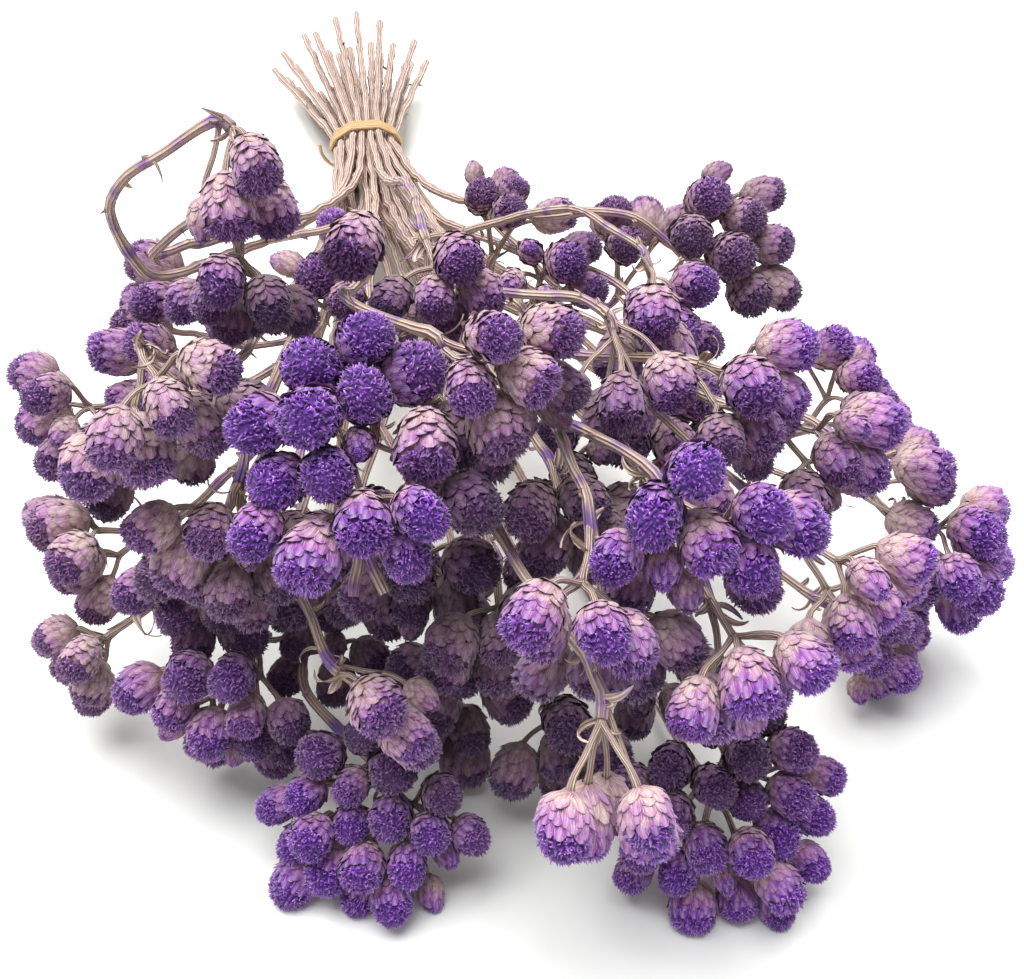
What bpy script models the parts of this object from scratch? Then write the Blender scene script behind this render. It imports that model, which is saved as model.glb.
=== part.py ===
"""A bunch of dried lonas lying on a flat surface.

Each cut stem, with the corymbs of button heads that grow from it, is one closed solid, and a band
holds the stems at the waist. Lengths are in millimetres until a mesh is made.
The cut ends point to +Y, the flower heads to -Y, and the surface is at z = 0.
"""
import random
from collections import namedtuple
from math import cos, pi, sin, sqrt, tau

import bmesh
import bpy
import numpy as np
from mathutils import Vector

MM = 0.001

# The middle of the bunch's outline, seen from above: it comes to the origin.
MIDDLE = Vector((-0.4, 18.9, 0.0))

# Stems, branches and stalks, by radius.
STEM_RADIUS = 1.15
SIDE_STEM_RADIUS = 0.85
SIDE_ROOT_RADIUS = 0.55
BRANCH_RADIUS = 0.65
STALK_RADIUS = 0.45

# Button heads of the middle size: width across the bract tips, and length from stalk to crown.
HEAD_WIDTH = 8.4
HEAD_LENGTH = 10.2
HEAD_PITCH = 7.9
DROOP = 0.9
AXIS_JITTER = 0.22
DEPTH_JITTER = 1.6
HEAD_SIZES = (0.84, 1.08)
BUD_SIZES = (0.6, 0.74)
BUD_SHARE = 0.1
BRACT_TIPS = 4

# How far along a head its cup, bract tips and the valleys between them are, and how wide.
CUP = (0.2, 0.37)
TIPS = (0.56, 0.5)
VALLEYS = (0.74, 0.42)
CORYMB_DOME = 26.0
STUB_SPREAD = (1.4, -3.2)
SPIRAL_GROWTH = 0.53
SPIRAL_START = 0.4
GOLDEN_TURN = pi * (3.0 - sqrt(5.0))

# A corymb of up to UNBRANCHED heads has its stalks on the stem, and a larger one has branches.
UNBRANCHED = 5
HEADS_PER_BRANCH = 3.6
BRANCH_SHARE = 0.55
STALK_STEP = 2.4
FORK_STEPS = (6.4, 3.2, 0.0)
FORK_ROOM = 1.5
FORK_REACH = 8.5
FORK_GROWTH = 2.2

# The waist, where the stems lie side by side in rows, and the fan of the cut ends behind it.
WAIST = Vector((-50.0, 118.0, 15.0))
TAIL = Vector((-0.16, 0.985, -0.03)).normalized()
ROWS = (6, 7, 8, 7, 4)
STEM_PITCH = 2.75
WAIST_LENGTH = 12.0
TAIL_LENGTH = 84.0
TAIL_JITTER = 14.0
TAIL_FAN = 2.9
CUT_END_HEIGHT = 0.95
BAND_WIDTH = 6.0
BAND_THICKNESS = 1.1
BAND_SIDES = 24
GAP = 0.3

# Stems bend smoothly through a few points. Shares along a stem where it has a ring of corners.
MAIN_STATIONS = (0.0, 0.2, 0.4, 0.56, 0.7, 0.83)
SIDE_STATIONS = (0.35, 0.65)
BEND_SPACING = 4.0
SIDE_STEM_START = 0.62
LONGEST_ARRIVAL = 90.0
PATH_PARTS = 16

# Spacing of the limbs, and how far a head and a stem may press into the surface.
CLEARANCE = 0.85
WAIST_CLEARANCE = 0.4
CORYMB_CLEARANCE = 0.1
HEAD_PRESS = 0.7
STEM_PRESS = 0.2
HOLD_SHAPE = 0.3
LAST_HOLD_SHAPE = 0.04
HOLD_PLACE = 0.01
EASE_STEPS = 260
SLIVER = 0.0004
SEED = 25

# Each spray lists its corymbs: middle, the way it faces, number of heads, and points that its stem bends through.
# The first corymb ends the main stem and the others stand on side stems.
SPRAYS = {
    "spray_top_left_loop": (
        ((-44, -99, 98), (0.2, -0.7, -0.5), 4, ((-66, -80, 74), (-69, -89, 92), (-60, -90, 101))),
        ((-31, -93, 88), (-0.3, -0.8, 0.2), 1, ()),
    ),
    "spray_upper_left": (
        ((-44, -103, 82), (0.0, -0.6, -0.7), 8, ((-64, -84, 80), (-56, -88, 88))),
    ),
    "spray_left_edge": (
        ((-80, -97, 53), (-0.7, -0.6, -0.1), 9, ()),
        ((-69, -72, 67), (-0.8, 0.0, 0.5), 6, ()),
    ),
    "spray_left_shoulder": (
        ((-67, -96, 59), (-0.6, -0.7, 0.3), 8, ()),
    ),
    "spray_left_front": (
        ((-49, -129, 74), (0.4, -0.6, -0.6), 11, ((-46, -103, 75), (-54, -114, 81))),
    ),
    "spray_left_below": (
        ((-46, -130, 53), (0.0, -0.9, -0.3), 9, ()),
        ((-55, -123, 37), (0.0, -1.0, 0.1), 7, ()),
    ),
    "spray_crown": (
        ((-25, -137, 82), (0.1, -0.75, 0.6), 15, ()),
        ((-25, -140, 56), (0.1, -0.75, -0.65), 0, ((-33, -118, 66),)),
    ),
    "spray_middle_front": (
        ((-3, -131, 80), (0.5, -0.7, -0.15), 12, ((-32, -92, 80), (-18, -114, 85))),
    ),
    "spray_middle_top": (
        ((-16, -96, 78), (0.1, -0.7, -0.3), 7, ()),
        ((7, -64, 66), (0.3, -0.5, 0.6), 7, ()),
    ),
    "spray_right_arch": (
        ((15, -112, 68), (0.1, -0.8, -0.5), 5, ((-12, -78, 72), (8, -90, 76))),
        ((20, -96, 72), (0.0, -0.7, -0.4), 3, ()),
    ),
    "spray_right_top": (
        ((42, -52, 70), (0.5, -0.5, 0.6), 9, ((0, -28, 62), (20, -40, 67))),
        ((22, -34, 64), (0.2, 0.2, 0.9), 6, ()),
    ),
    "spray_back_top": (
        ((-3, -22, 66), (0.2, 0.1, 0.95), 6, ()),
    ),
    "spray_right_upper": (
        ((28, -80, 58), (0.5, -0.7, 0.1), 6, ((4, -48, 60), (18, -62, 63))),
    ),
    "spray_right_shoulder": (
        ((68, -69, 44), (0.7, -0.1, 0.6), 8, ()),
    ),
    "spray_right_inner": (
        ((36, -116, 72), (0.6, -0.7, -0.1), 7, ((6, -92, 68), (18, -101, 73))),
        ((51, -137, 49), (0.6, -0.7, -0.3), 9, ()),
    ),
    "spray_right_middle": (
        ((52, -113, 57), (0.7, -0.6, -0.2), 7, ((29, -92, 60),)),
        ((72, -97, 42), (0.9, -0.2, 0.2), 4, ()),
    ),
    "spray_right_edge": (
        ((80, -100, 27), (0.8, -0.5, -0.2), 7, ((58, -80, 42),)),
    ),
    "spray_right_low": (
        ((72, -106, 12), (0.8, -0.6, -0.1), 13, ()),
    ),
    "spray_centre_right": (
        ((22, -150, 69), (0.2, -0.9, 0.0), 11, ((6, -112, 68), (15, -130, 73))),
    ),
    "spray_front_right_hanging": (
        ((31, -155, 50), (0.3, -0.8, -0.5), 9, ()),
    ),
    "spray_centre": (
        ((10, -153, 57), (0.0, -0.8, -0.5), 8, ()),
        ((21, -128, 21), (0.1, -0.9, 0.0), 6, ()),
    ),
    "spray_front_hanging": (
        ((9, -171, 45), (0.0, -0.6, -0.8), 5, ((-5, -120, 57), (3, -142, 58))),
        ((5, -134, 12), (0.1, -0.9, -0.1), 6, ()),
    ),
    "spray_floor_right": (
        ((33, -152, 17), (0.1, -0.8, 0.45), 24, ()),
    ),
    "spray_floor_left": (
        ((-27, -152, 13), (-0.1, -0.85, 0.35), 21, ((-39, -125, 22),)),
        ((-36, -120, 24), (0.1, -0.9, 0.3), 7, ()),
    ),
    "spray_left_low": (
        ((-52, -133, 20), (-0.2, -0.9, -0.2), 14, ()),
    ),
    "spray_left_edge_low": (
        ((-80, -119, 21), (-0.7, -0.6, -0.3), 6, ()),
    ),
    "spray_left_edge_middle": (
        ((-80, -108, 37), (-0.8, -0.5, 0.1), 6, ()),
    ),
    "spray_front_inner": (
        ((-19, -147, 37), (0.8, -0.6, 0.0), 4, ((-40, -112, 44), (-36, -128, 40))),
        ((-17, -131, 44), (0.2, -0.9, -0.2), 7, ()),
    ),
    "spray_inner": (
        ((6, -127, 55), (0.2, -0.9, -0.3), 7, ()),
        ((-30, -118, 40), (0.1, -1.0, 0.2), 7, ()),
    ),
    "spray_middle_low": (
        ((-6, -132, 41), (0.1, -0.9, -0.2), 7, ()),
        ((-12, -130, 18), (0.0, -0.9, 0.1), 7, ()),
    ),
    "spray_middle_back": (
        ((-40, -50, 62), (-0.2, -0.3, 0.9), 6, ()),
    ),
    "spray_middle_right": (
        ((27, -89, 46), (0.3, -0.8, 0.3), 6, ()),
        ((10, -100, 45), (0.1, -0.8, 0.4), 6, ()),
    ),
}

# Sprays whose heads are smaller or larger than the middle size.
HEAD_SCALES = {
    "spray_floor_left": 0.86,
    "spray_floor_right": 0.86,
    "spray_right_low": 0.88,
    "spray_left_low": 0.9,
    "spray_upper_left": 0.86,
    "spray_middle_top": 0.92,
    "spray_left_edge_low": 0.92,
    "spray_back_top": 0.92,
    "spray_top_left_loop": 1.1,
    "spray_right_edge": 1.1,
    "spray_middle_right": 1.1,
    "spray_middle_back": 1.05,
    "spray_inner": 1.05,
}

# Sprays whose chances were drawn again, because limbs of the first draw crossed.
DRAWS = {
    "spray_back_top": 150,
    "spray_floor_left": 75,
    "spray_front_inner": 282,
    "spray_left_below": 197,
    "spray_left_edge": 196,
    "spray_left_front": 107,
    "spray_left_low": 149,
    "spray_left_shoulder": 213,
    "spray_middle_back": 247,
    "spray_middle_front": 265,
    "spray_middle_low": 291,
    "spray_middle_right": 199,
    "spray_right_edge": 348,
    "spray_right_inner": 172,
    "spray_right_top": 399,
    "spray_right_upper": 254,
    "spray_upper_left": 13,
}


def smooth_path(keys, leaving, arriving, stations):
    """Points on a smooth curve through the keys, at the given shares and then at the fork steps."""
    ways = [leaving] + [(after - before).normalized() for before, after in zip(keys[:-2], keys[2:])] + [arriving]
    fine = []
    for index, (start, end) in enumerate(zip(keys[:-1], keys[1:])):
        chord = (end - start).length
        out = ways[index] * chord
        into = ways[index + 1] * min(chord, LONGEST_ARRIVAL)
        for part in range(PATH_PARTS):
            t = part / PATH_PARTS
            fine.append(
                start * (2 * t**3 - 3 * t**2 + 1)
                + out * (t**3 - 2 * t**2 + t)
                + end * (3 * t**2 - 2 * t**3)
                + into * (t**3 - t**2)
            )
    fine.append(keys[-1])
    travelled = [0.0]
    for before, after in zip(fine[:-1], fine[1:]):
        travelled.append(travelled[-1] + (after - before).length)
    last = travelled[-1]
    at_bends = [travelled[part] for part in range(PATH_PARTS, len(fine) - 1, PATH_PARTS // 2)]
    goals = []
    for goal in sorted([share * last for share in stations] + at_bends):
        if goal < last - FORK_STEPS[0] - BEND_SPACING and (not goals or goal > goals[-1] + BEND_SPACING):
            goals.append(goal)
    goals += [last - step for step in FORK_STEPS]
    points = []
    for goal in goals:
        index = min(next(i for i, s in enumerate(travelled) if s >= goal - 1e-9), len(fine) - 1)
        if index == 0:
            points.append(fine[0].copy())
            continue
        step = travelled[index] - travelled[index - 1]
        points.append(fine[index - 1].lerp(fine[index], (goal - travelled[index - 1]) / step))
    return points


def cross_frame(axis):
    """Two unit vectors square to an axis: one level where it can be, and one that points down."""
    level = axis.cross(Vector((0.0, 0.0, 1.0)))
    if level.length < 0.1:
        level = axis.cross(Vector((1.0, 0.0, 0.0)))
    level.normalize()
    return level, axis.cross(level)


def waist_slots():
    """Offsets of the stems in their rows at the waist, the lowest row first."""
    level, down = cross_frame(-TAIL)
    slots = []
    for row, count in enumerate(ROWS):
        height = (row - (len(ROWS) - 1) / 2) * STEM_PITCH * sqrt(3.0) / 2
        for column in range(count):
            slots.append(level * (column - (count - 1) / 2) * STEM_PITCH - down * height)
    return slots


def slots_by_spray():
    """The slot of each spray: low sprays in the low rows, and each row in order from left to right."""
    slots = waist_slots()
    aims = {name: (Vector(corymbs[0][0]) - WAIST).normalized() for name, corymbs in SPRAYS.items()}
    names = sorted(SPRAYS, key=lambda name: aims[name].z)
    given = {}
    first = 0
    for count in ROWS:
        row = sorted(names[first:first + count], key=lambda name: aims[name].x)
        row_slots = sorted(slots[first:first + count], key=lambda slot: slot.x)
        given.update(zip(row, row_slots))
        first += count
    return given


Head = namedtuple("Head", "tip axis size")
Stub = namedtuple("Stub", "tip")
Branch = namedtuple("Branch", "joint limbs")
Stem = namedtuple("Stem", "chain limbs")


class Skeleton:
    """Points joined by limbs. Each spray is a list of stems with the branches and heads that they carry."""

    def __init__(self):
        self.points = []
        self.spray = []
        self.pinned = []
        self.limbs = []
        self.heads = []
        self.sprays = {}

    def add_point(self, place, spray, pinned=False):
        self.points.append(Vector(place))
        self.spray.append(spray)
        self.pinned.append(pinned)
        return len(self.points) - 1

    def add_limb(self, start, place, spray, radius, pinned=False):
        end = self.add_point(place, spray, pinned)
        self.limbs.append((start, end, radius))
        return end


def most_ahead(aims, start, way):
    """Indices of the aims, the one that lies straightest ahead first."""
    return sorted(range(len(aims)), key=lambda i: (aims[i] - start).normalized().dot(way), reverse=True)


def corymb_heads(middle, facing, count, scale, dice):
    """Turn about the middle, place, axis and size of each head, on a shallow dome."""
    level, across = cross_frame(facing)
    phase = dice.uniform(0.0, tau)
    heads = []
    for index in range(count):
        reach = HEAD_PITCH * scale * SPIRAL_GROWTH * sqrt(index + SPIRAL_START)
        turn = phase + index * GOLDEN_TURN
        out = level * cos(turn) + across * sin(turn)
        place = middle + out * reach - facing * (reach**2 / (2 * CORYMB_DOME) + dice.uniform(-DEPTH_JITTER, DEPTH_JITTER))
        jitter = Vector((dice.uniform(-1, 1), dice.uniform(-1, 1), dice.uniform(-1, 1))) * AXIS_JITTER
        axis = (facing + out * reach / CORYMB_DOME + jitter - Vector((0, 0, DROOP))).normalized()
        size = dice.uniform(*(BUD_SIZES if dice.random() < BUD_SHARE else HEAD_SIZES))
        heads.append((turn % tau, place, axis, size * scale))
    return sorted(heads, key=lambda head: head[0])


def grow_stalk(skeleton, spray, joint, head):
    _, place, axis, size = head
    tip = skeleton.add_limb(joint, place, spray, STALK_RADIUS)
    skeleton.heads.append((joint, tip, size))
    return Head(tip, axis, size)


def grow_corymb(skeleton, spray, chain, middle, facing, count, scale, dice):
    """A stem that ends in a corymb: one limb carries on from its end, and the others leave its sides."""
    fork = skeleton.points[chain[-1]]
    if count == 0:
        level, _ = cross_frame(facing)
        stubs = [Stub(skeleton.add_limb(chain[-1], middle + level * side, spray, STALK_RADIUS)) for side in STUB_SPREAD]
        return Stem(chain, stubs)
    heads = corymb_heads(middle, facing, count, scale, dice)
    if count <= UNBRANCHED:
        order = most_ahead([head[1] for head in heads], fork, facing)
        limbs = [grow_stalk(skeleton, spray, chain[-1 - turn % 2], heads[i]) for turn, i in enumerate(order)]
        return Stem(chain, limbs)
    branches = round(count / HEADS_PER_BRANCH)
    groups = [heads[i * count // branches:(i + 1) * count // branches] for i in range(branches)]
    aims = [sum((head[1] for head in group), Vector()) / len(group) for group in groups]
    limbs = []
    for turn, branch in enumerate(most_ahead(aims, fork, facing)):
        root = chain[-1 - turn % 2]
        place = skeleton.points[root].lerp(aims[branch], BRANCH_SHARE)
        joint = skeleton.add_limb(root, place, spray, BRANCH_RADIUS)
        limbs.append(Branch(joint, [grow_stalk(skeleton, spray, joint, head) for head in groups[branch]]))
    return Stem(chain, limbs)


def stem_share(skeleton, main, share):
    """The place in a main stem of its point nearest to a share of the way from the waist to the fork."""
    runs = [(skeleton.points[a] - skeleton.points[b]).length for a, b in zip(main[2:-1], main[3:])]
    return 2 + min(range(len(runs)), key=lambda i: abs(sum(runs[:i]) - share * sum(runs)))


def grow():
    """The skeleton of the whole bunch, before its limbs are spaced."""
    skeleton = Skeleton()
    for spray, (name, slot) in enumerate(sorted(slots_by_spray().items())):
        dice = random.Random(SEED + spray + DRAWS.get(name, 0))
        tail = TAIL_LENGTH + dice.uniform(-TAIL_JITTER, TAIL_JITTER)
        back = WAIST + slot + TAIL * (WAIST_LENGTH / 2)
        front = WAIST + slot - TAIL * (WAIST_LENGTH / 2)
        cut_end = WAIST + slot * TAIL_FAN + TAIL * tail
        cut_end.z = max(cut_end.z, CUT_END_HEIGHT)
        main = [skeleton.add_point(cut_end, spray, True)]
        for place in (back, front):
            main.append(skeleton.add_limb(main[-1], place, spray, STEM_RADIUS, True))
        skeleton.sprays[name] = []
        for middle, facing, count, bends in SPRAYS[name]:
            middle = Vector(middle)
            facing = Vector(facing).normalized()
            fork = middle - facing * (FORK_REACH + FORK_GROWTH * sqrt(count))
            bends = [Vector(bend) for bend in bends]
            if not skeleton.sprays[name]:
                chain, radius, stations = main, STEM_RADIUS, MAIN_STATIONS[1:]
                leaving = -TAIL
            else:
                root = stem_share(skeleton, main, SIDE_STEM_START)
                chain, radius, stations = [main[root]], SIDE_STEM_RADIUS, SIDE_STATIONS
                along = (skeleton.points[main[root + 1]] - skeleton.points[main[root]]).normalized()
                leaving = (along + (fork - skeleton.points[chain[0]]).normalized()).normalized()
            keys = [skeleton.points[chain[-1]].copy()] + bends + [fork]
            for place in smooth_path(keys, leaving, facing, stations):
                chain.append(skeleton.add_limb(chain[-1], place, spray, radius))
            stem = grow_corymb(skeleton, spray, chain, middle, facing, count, HEAD_SCALES.get(name, 1.0), dice)
            skeleton.sprays[name].append(stem)
    return skeleton


def closest_shares(start_a, end_a, start_b, end_b):
    """How far along two sets of segments their closest points lie, each from 0 to 1."""
    run_a = end_a - start_a
    run_b = end_b - start_b
    apart = start_a - start_b
    aa = (run_a * run_a).sum(1) + 1e-12
    bb = (run_b * run_b).sum(1) + 1e-12
    ab = (run_a * run_b).sum(1)
    ra = (run_a * apart).sum(1)
    rb = (run_b * apart).sum(1)
    cross = aa * bb - ab * ab
    along_a = np.clip((ab * rb - ra * bb) / np.maximum(cross, 1e-9), 0.0, 1.0)
    along_b = np.clip((ab * along_a + rb) / bb, 0.0, 1.0)
    along_a = np.clip((ab * along_b - ra) / aa, 0.0, 1.0)
    return along_a, along_b


def space_out(skeleton):
    """Bend the limbs and shift the heads until the sprays clear each other and the surface.

    Stems and heads are round rods and balls here. Each step keeps every limb near its own shape,
    then parts what is too close, and lifts what lies under the surface.
    """
    points = np.array([list(point) for point in skeleton.points])
    home = points.copy()
    spray = np.array(skeleton.spray)
    loose = np.where(np.array(skeleton.pinned), 0.0, 1.0)
    limb_a = np.array([limb[0] for limb in skeleton.limbs])
    limb_b = np.array([limb[1] for limb in skeleton.limbs])
    limb_radius = np.array([limb[2] for limb in skeleton.limbs])
    shape = points[limb_b] - points[limb_a]
    joints = np.array([head[0] for head in skeleton.heads])
    tips = np.array([head[1] for head in skeleton.heads])
    head_size = np.array([head[2] for head in skeleton.heads])

    rod_a = np.concatenate((limb_a, tips))
    rod_b = np.concatenate((limb_b, tips))
    radius = np.concatenate((limb_radius, head_size * HEAD_LENGTH / 2))
    slim = np.concatenate((limb_radius, head_size * HEAD_WIDTH / 2))
    owner = np.concatenate((np.full(len(limb_a), -1), joints))
    first, second = np.triu_indices(len(rod_a), 1)
    same = spray[rod_a[first]] == spray[rod_a[second]]
    attached = rod_b[first] == owner[second]
    for end in (rod_a[first], rod_b[first]):
        attached |= (end == rod_a[second]) | (end == rod_b[second])
    keep = ~attached
    first, second, same = first[keep], second[keep], same[keep]
    at_waist = (loose[rod_a[first]] == 0) & (loose[rod_a[second]] == 0)
    need = radius[first] + radius[second] + np.where(at_waist, WAIST_CLEARANCE, CLEARANCE)
    need[same] = (slim[first] + slim[second] + CORYMB_CLEARANCE)[same]

    floor = np.zeros(len(points))
    np.maximum.at(floor, limb_a, limb_radius - STEM_PRESS)
    np.maximum.at(floor, limb_b, limb_radius - STEM_PRESS)
    floor[tips] = head_size * HEAD_WIDTH / 2 - HEAD_PRESS
    movable = loose > 0
    for step in range(EASE_STEPS):
        last_part = step > EASE_STEPS * 0.75
        stiffness = LAST_HOLD_SHAPE if last_part else HOLD_SHAPE
        drift = (points[limb_b] - points[limb_a]) - shape
        total = loose[limb_a] + loose[limb_b]
        total[total == 0] = 1.0
        move = np.zeros_like(points)
        count = np.ones(len(points))
        np.add.at(move, limb_a, drift * (stiffness * loose[limb_a] / total)[:, None])
        np.add.at(move, limb_b, -drift * (stiffness * loose[limb_b] / total)[:, None])
        np.add.at(count, limb_a, 0.5)
        np.add.at(count, limb_b, 0.5)
        points += move / count[:, None] * 1.6
        if not last_part:
            points += (home - points) * HOLD_PLACE * loose[:, None]

        if step % 8 == 0:
            half = np.linalg.norm(points[rod_b] - points[rod_a], axis=1) / 2
            centre = (points[rod_b] + points[rod_a]) / 2
            reach = np.linalg.norm(centre[first] - centre[second], axis=1)
            near = reach < half[first] + half[second] + need + 3.0
            near_a, near_b, near_need = first[near], second[near], need[near]
        a0, a1, b0, b1 = rod_a[near_a], rod_b[near_a], rod_a[near_b], rod_b[near_b]
        s, t = closest_shares(points[a0], points[a1], points[b0], points[b1])
        spot_a = points[a0] + (points[a1] - points[a0]) * s[:, None]
        spot_b = points[b0] + (points[b1] - points[b0]) * t[:, None]
        between = spot_a - spot_b
        distance = np.linalg.norm(between, axis=1) + 1e-9
        close = distance < near_need
        a0, a1, b0, b1, s, t = a0[close], a1[close], b0[close], b1[close], s[close], t[close]
        push = between[close] / distance[close][:, None] * (near_need - distance)[close][:, None]
        weights = (1 - s, s, 1 - t, t)
        ends = (a0, a1, b0, b1)
        total = sum(loose[end] * weight**2 for end, weight in zip(ends, weights)) + 0.02
        move = np.zeros_like(points)
        count = np.zeros(len(points))
        for end, weight, sign in zip(ends, weights, (1, 1, -1, -1)):
            np.add.at(move, end, push * (sign * loose[end] * weight / total)[:, None])
            np.add.at(count, end, weight)
        points += move / np.maximum(count, 1.0)[:, None]
        points[:, 2] = np.where(movable, np.maximum(points[:, 2], floor), points[:, 2])
    skeleton.points = [Vector([float(value) for value in point]) for point in points]


class Body:
    """The corners and faces of one closed body."""

    def __init__(self):
        self.corners = []
        self.faces = []

    def middle(self, ring):
        return sum((self.corners[corner] for corner in ring), Vector()) / len(ring)

    def normal(self, wall):
        a, b, c, d = (self.corners[corner] for corner in wall)
        return (c - a).cross(d - b).normalized()

    def add_ring(self, centre, axis, radii, level):
        """Corners round an axis, one for each radius, the first in the level direction."""
        across = axis.cross(level)
        first = len(self.corners)
        for index, radius in enumerate(radii):
            turn = tau * index / len(radii)
            self.corners.append(centre + (level * cos(turn) + across * sin(turn)) * radius)
        return list(range(first, len(self.corners)))

    def carry_on(self, lower, centre, axis, radius):
        """A further ring, without twist, and the walls that lead to it."""
        corner = self.corners[lower[0]]
        level = (corner - self.corners[lower[1]]).normalized() + (corner - self.corners[lower[-1]]).normalized()
        level = self.normal(lower).rotation_difference(axis) @ level
        level = (level - axis * level.dot(axis)).normalized()
        upper = self.add_ring(centre, axis, [radius] * len(lower), level)
        following = lower[1:] + lower[:1], upper[1:] + upper[:1]
        walls = list(zip(lower, following[0], following[1], upper))
        self.faces += walls
        return upper, walls


def add_head(body, root, head, points):
    """A stalk from a ring, a cup of bracts whose tips stand out, and the dome inside them."""
    length = HEAD_LENGTH * head.size
    width = HEAD_WIDTH * head.size
    centre = points[head.tip]
    axis = (head.axis + (centre - body.middle(root)).normalized()).normalized()
    base = centre - axis * length / 2
    neck, _ = body.carry_on(root, base, axis, STALK_RADIUS)
    cup, _ = body.carry_on(neck, base + axis * length * CUP[0], axis, width * CUP[1])
    level = (body.corners[cup[0]] - body.middle(cup)).normalized()
    tips = body.add_ring(base + axis * length * TIPS[0], axis, [width * TIPS[1]] * BRACT_TIPS, level)
    middles = (body.corners[tips[0]] + body.corners[tips[1]]) / 2 - body.middle(tips)
    level = middles.normalized()
    valleys = body.add_ring(base + axis * length * VALLEYS[0], axis, [width * VALLEYS[1]] * BRACT_TIPS, level)
    body.corners.append(base + axis * length)
    crown = len(body.corners) - 1
    for index in range(BRACT_TIPS):
        following = (index + 1) % BRACT_TIPS
        here = cup[index], tips[index], valleys[index]
        there = cup[following], tips[following]
        body.faces += [
            (here[0], here[2], here[1]),
            (here[0], there[0], here[2]),
            (there[0], there[1], here[2]),
            (here[1], here[2], crown),
            (here[2], there[1], crown),
        ]


def add_branch(body, root, branch, points):
    joint = points[branch.joint]
    way = (joint - body.middle(root)).normalized()
    step = min(STALK_STEP, (joint - body.middle(root)).length / 2)
    lower, _ = body.carry_on(root, joint - way * step, way, BRANCH_RADIUS)
    upper, walls = body.carry_on(lower, joint, way, BRANCH_RADIUS)
    fork_off(body, [tuple(upper)] + walls, branch.limbs, points)


def add_limb(body, root, limb, points):
    if isinstance(limb, Head):
        add_head(body, root, limb, points)
    elif isinstance(limb, Branch):
        add_branch(body, root, limb, points)
    else:
        way = (points[limb.tip] - body.middle(root)).normalized()
        end, _ = body.carry_on(root, points[limb.tip], way, STALK_RADIUS)
        body.faces.append(tuple(end))


def fork_off(body, seats, limbs, points):
    """Grow the limbs out of the seats of a fork, its end ring and its walls, so that they part well."""
    aims = [points[limb.joint if isinstance(limb, Branch) else limb.tip] for limb in limbs]
    starts = [body.middle(seat) for seat in seats]
    start = np.array([list(place) for _ in aims for place in starts])
    aim = np.array([list(place) for place in aims for _ in starts])
    first, second = (grid.ravel() for grid in np.indices((len(aim), len(aim))))
    share_a, share_b = closest_shares(start[first], aim[first], start[second], aim[second])
    spot_a = start[first] + (aim - start)[first] * share_a[:, None]
    spot_b = start[second] + (aim - start)[second] * share_b[:, None]
    crowding = np.maximum(0.0, FORK_ROOM - np.linalg.norm(spot_a - spot_b, axis=1)).reshape(len(aim), len(aim))
    turned = [1 - body.normal(seat).dot((to - body.middle(seat)).normalized()) for to in aims for seat in seats]

    def strain(placing):
        held = [limb * len(seats) + seat for limb, seat in enumerate(placing)]
        pairs = sum(crowding[a, b] for k, a in enumerate(held) for b in held[k + 1:])
        return pairs + sum(turned[a]**2 for a in held)

    placing = list(range(len(limbs)))
    better = True
    while better:
        better = False
        for limb in range(len(limbs)):
            for seat in range(len(seats)):
                trial = [placing[limb] if other == seat else other for other in placing]
                trial[limb] = seat
                if strain(trial) < strain(placing) - 1e-6:
                    placing = trial
                    better = True
    for limb, seat in zip(limbs, placing):
        if seat > 0:
            body.faces.remove(seats[seat])
        add_limb(body, list(seats[seat]), limb, points)
    if 0 not in placing:
        body.faces.append(seats[0])


def stem_body(stem, points, radii):
    """A stem with all that it carries. The radii are at its start, half way and at its fork."""
    body = Body()
    path = [points[point] for point in stem.chain]
    way = (path[1] - path[0]).normalized()
    ring = body.add_ring(path[0], way, [radii[0]] * 4, cross_frame(way)[0])
    body.faces.append(tuple(reversed(ring)))
    last = len(path) - 1
    forks = []
    for index in range(1, last + 1):
        way = (path[min(index + 1, last)] - path[index - 1]).normalized()
        share = max(0.0, 2 * index / last - 1)
        ring, walls = body.carry_on(ring, path[index], way, radii[1] + (radii[2] - radii[1]) * share)
        if index > last + 1 - len(FORK_STEPS):
            forks += walls
    fork_off(body, [tuple(ring)] + forks, stem.limbs, points)
    return body


def material(name, colour, roughness):
    made = bpy.data.materials.new(name)
    made.use_nodes = True
    shader = made.node_tree.nodes["Principled BSDF"]
    shader.inputs["Base Color"].default_value = (*colour, 1.0)
    shader.inputs["Roughness"].default_value = roughness
    shader.inputs["Metallic"].default_value = 0.0
    made.diffuse_color = (*colour, 1.0)
    return made


def new_object(name, body, made_of, collection):
    mesh = bpy.data.meshes.new(name)
    mesh.from_pydata([(corner - MIDDLE) * MM for corner in body.corners], [], body.faces)
    mesh.materials.append(made_of)
    made = bpy.data.objects.new(name, mesh)
    collection.objects.link(made)
    return made


def fuse_side_stems(spray, bodies, made_of):
    """Join the side stems of a spray to its main stem, which their roots are sunk in."""
    roots = bpy.data.collections.new(spray.name + "_side_stems")
    bpy.context.scene.collection.children.link(roots)
    for body in bodies:
        new_object(spray.name + "_side_stem", body, made_of, roots)
    union = spray.modifiers.new("fuse", "BOOLEAN")
    union.operation = "UNION"
    union.operand_type = "COLLECTION"
    union.collection = roots
    union.solver = "EXACT"
    union.use_self = True
    fused = bpy.data.meshes.new_from_object(spray.evaluated_get(bpy.context.evaluated_depsgraph_get()))
    spray.modifiers.clear()
    spray.data = fused
    for root in list(roots.objects):
        bpy.data.objects.remove(root)
    bpy.data.collections.remove(roots)


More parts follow.
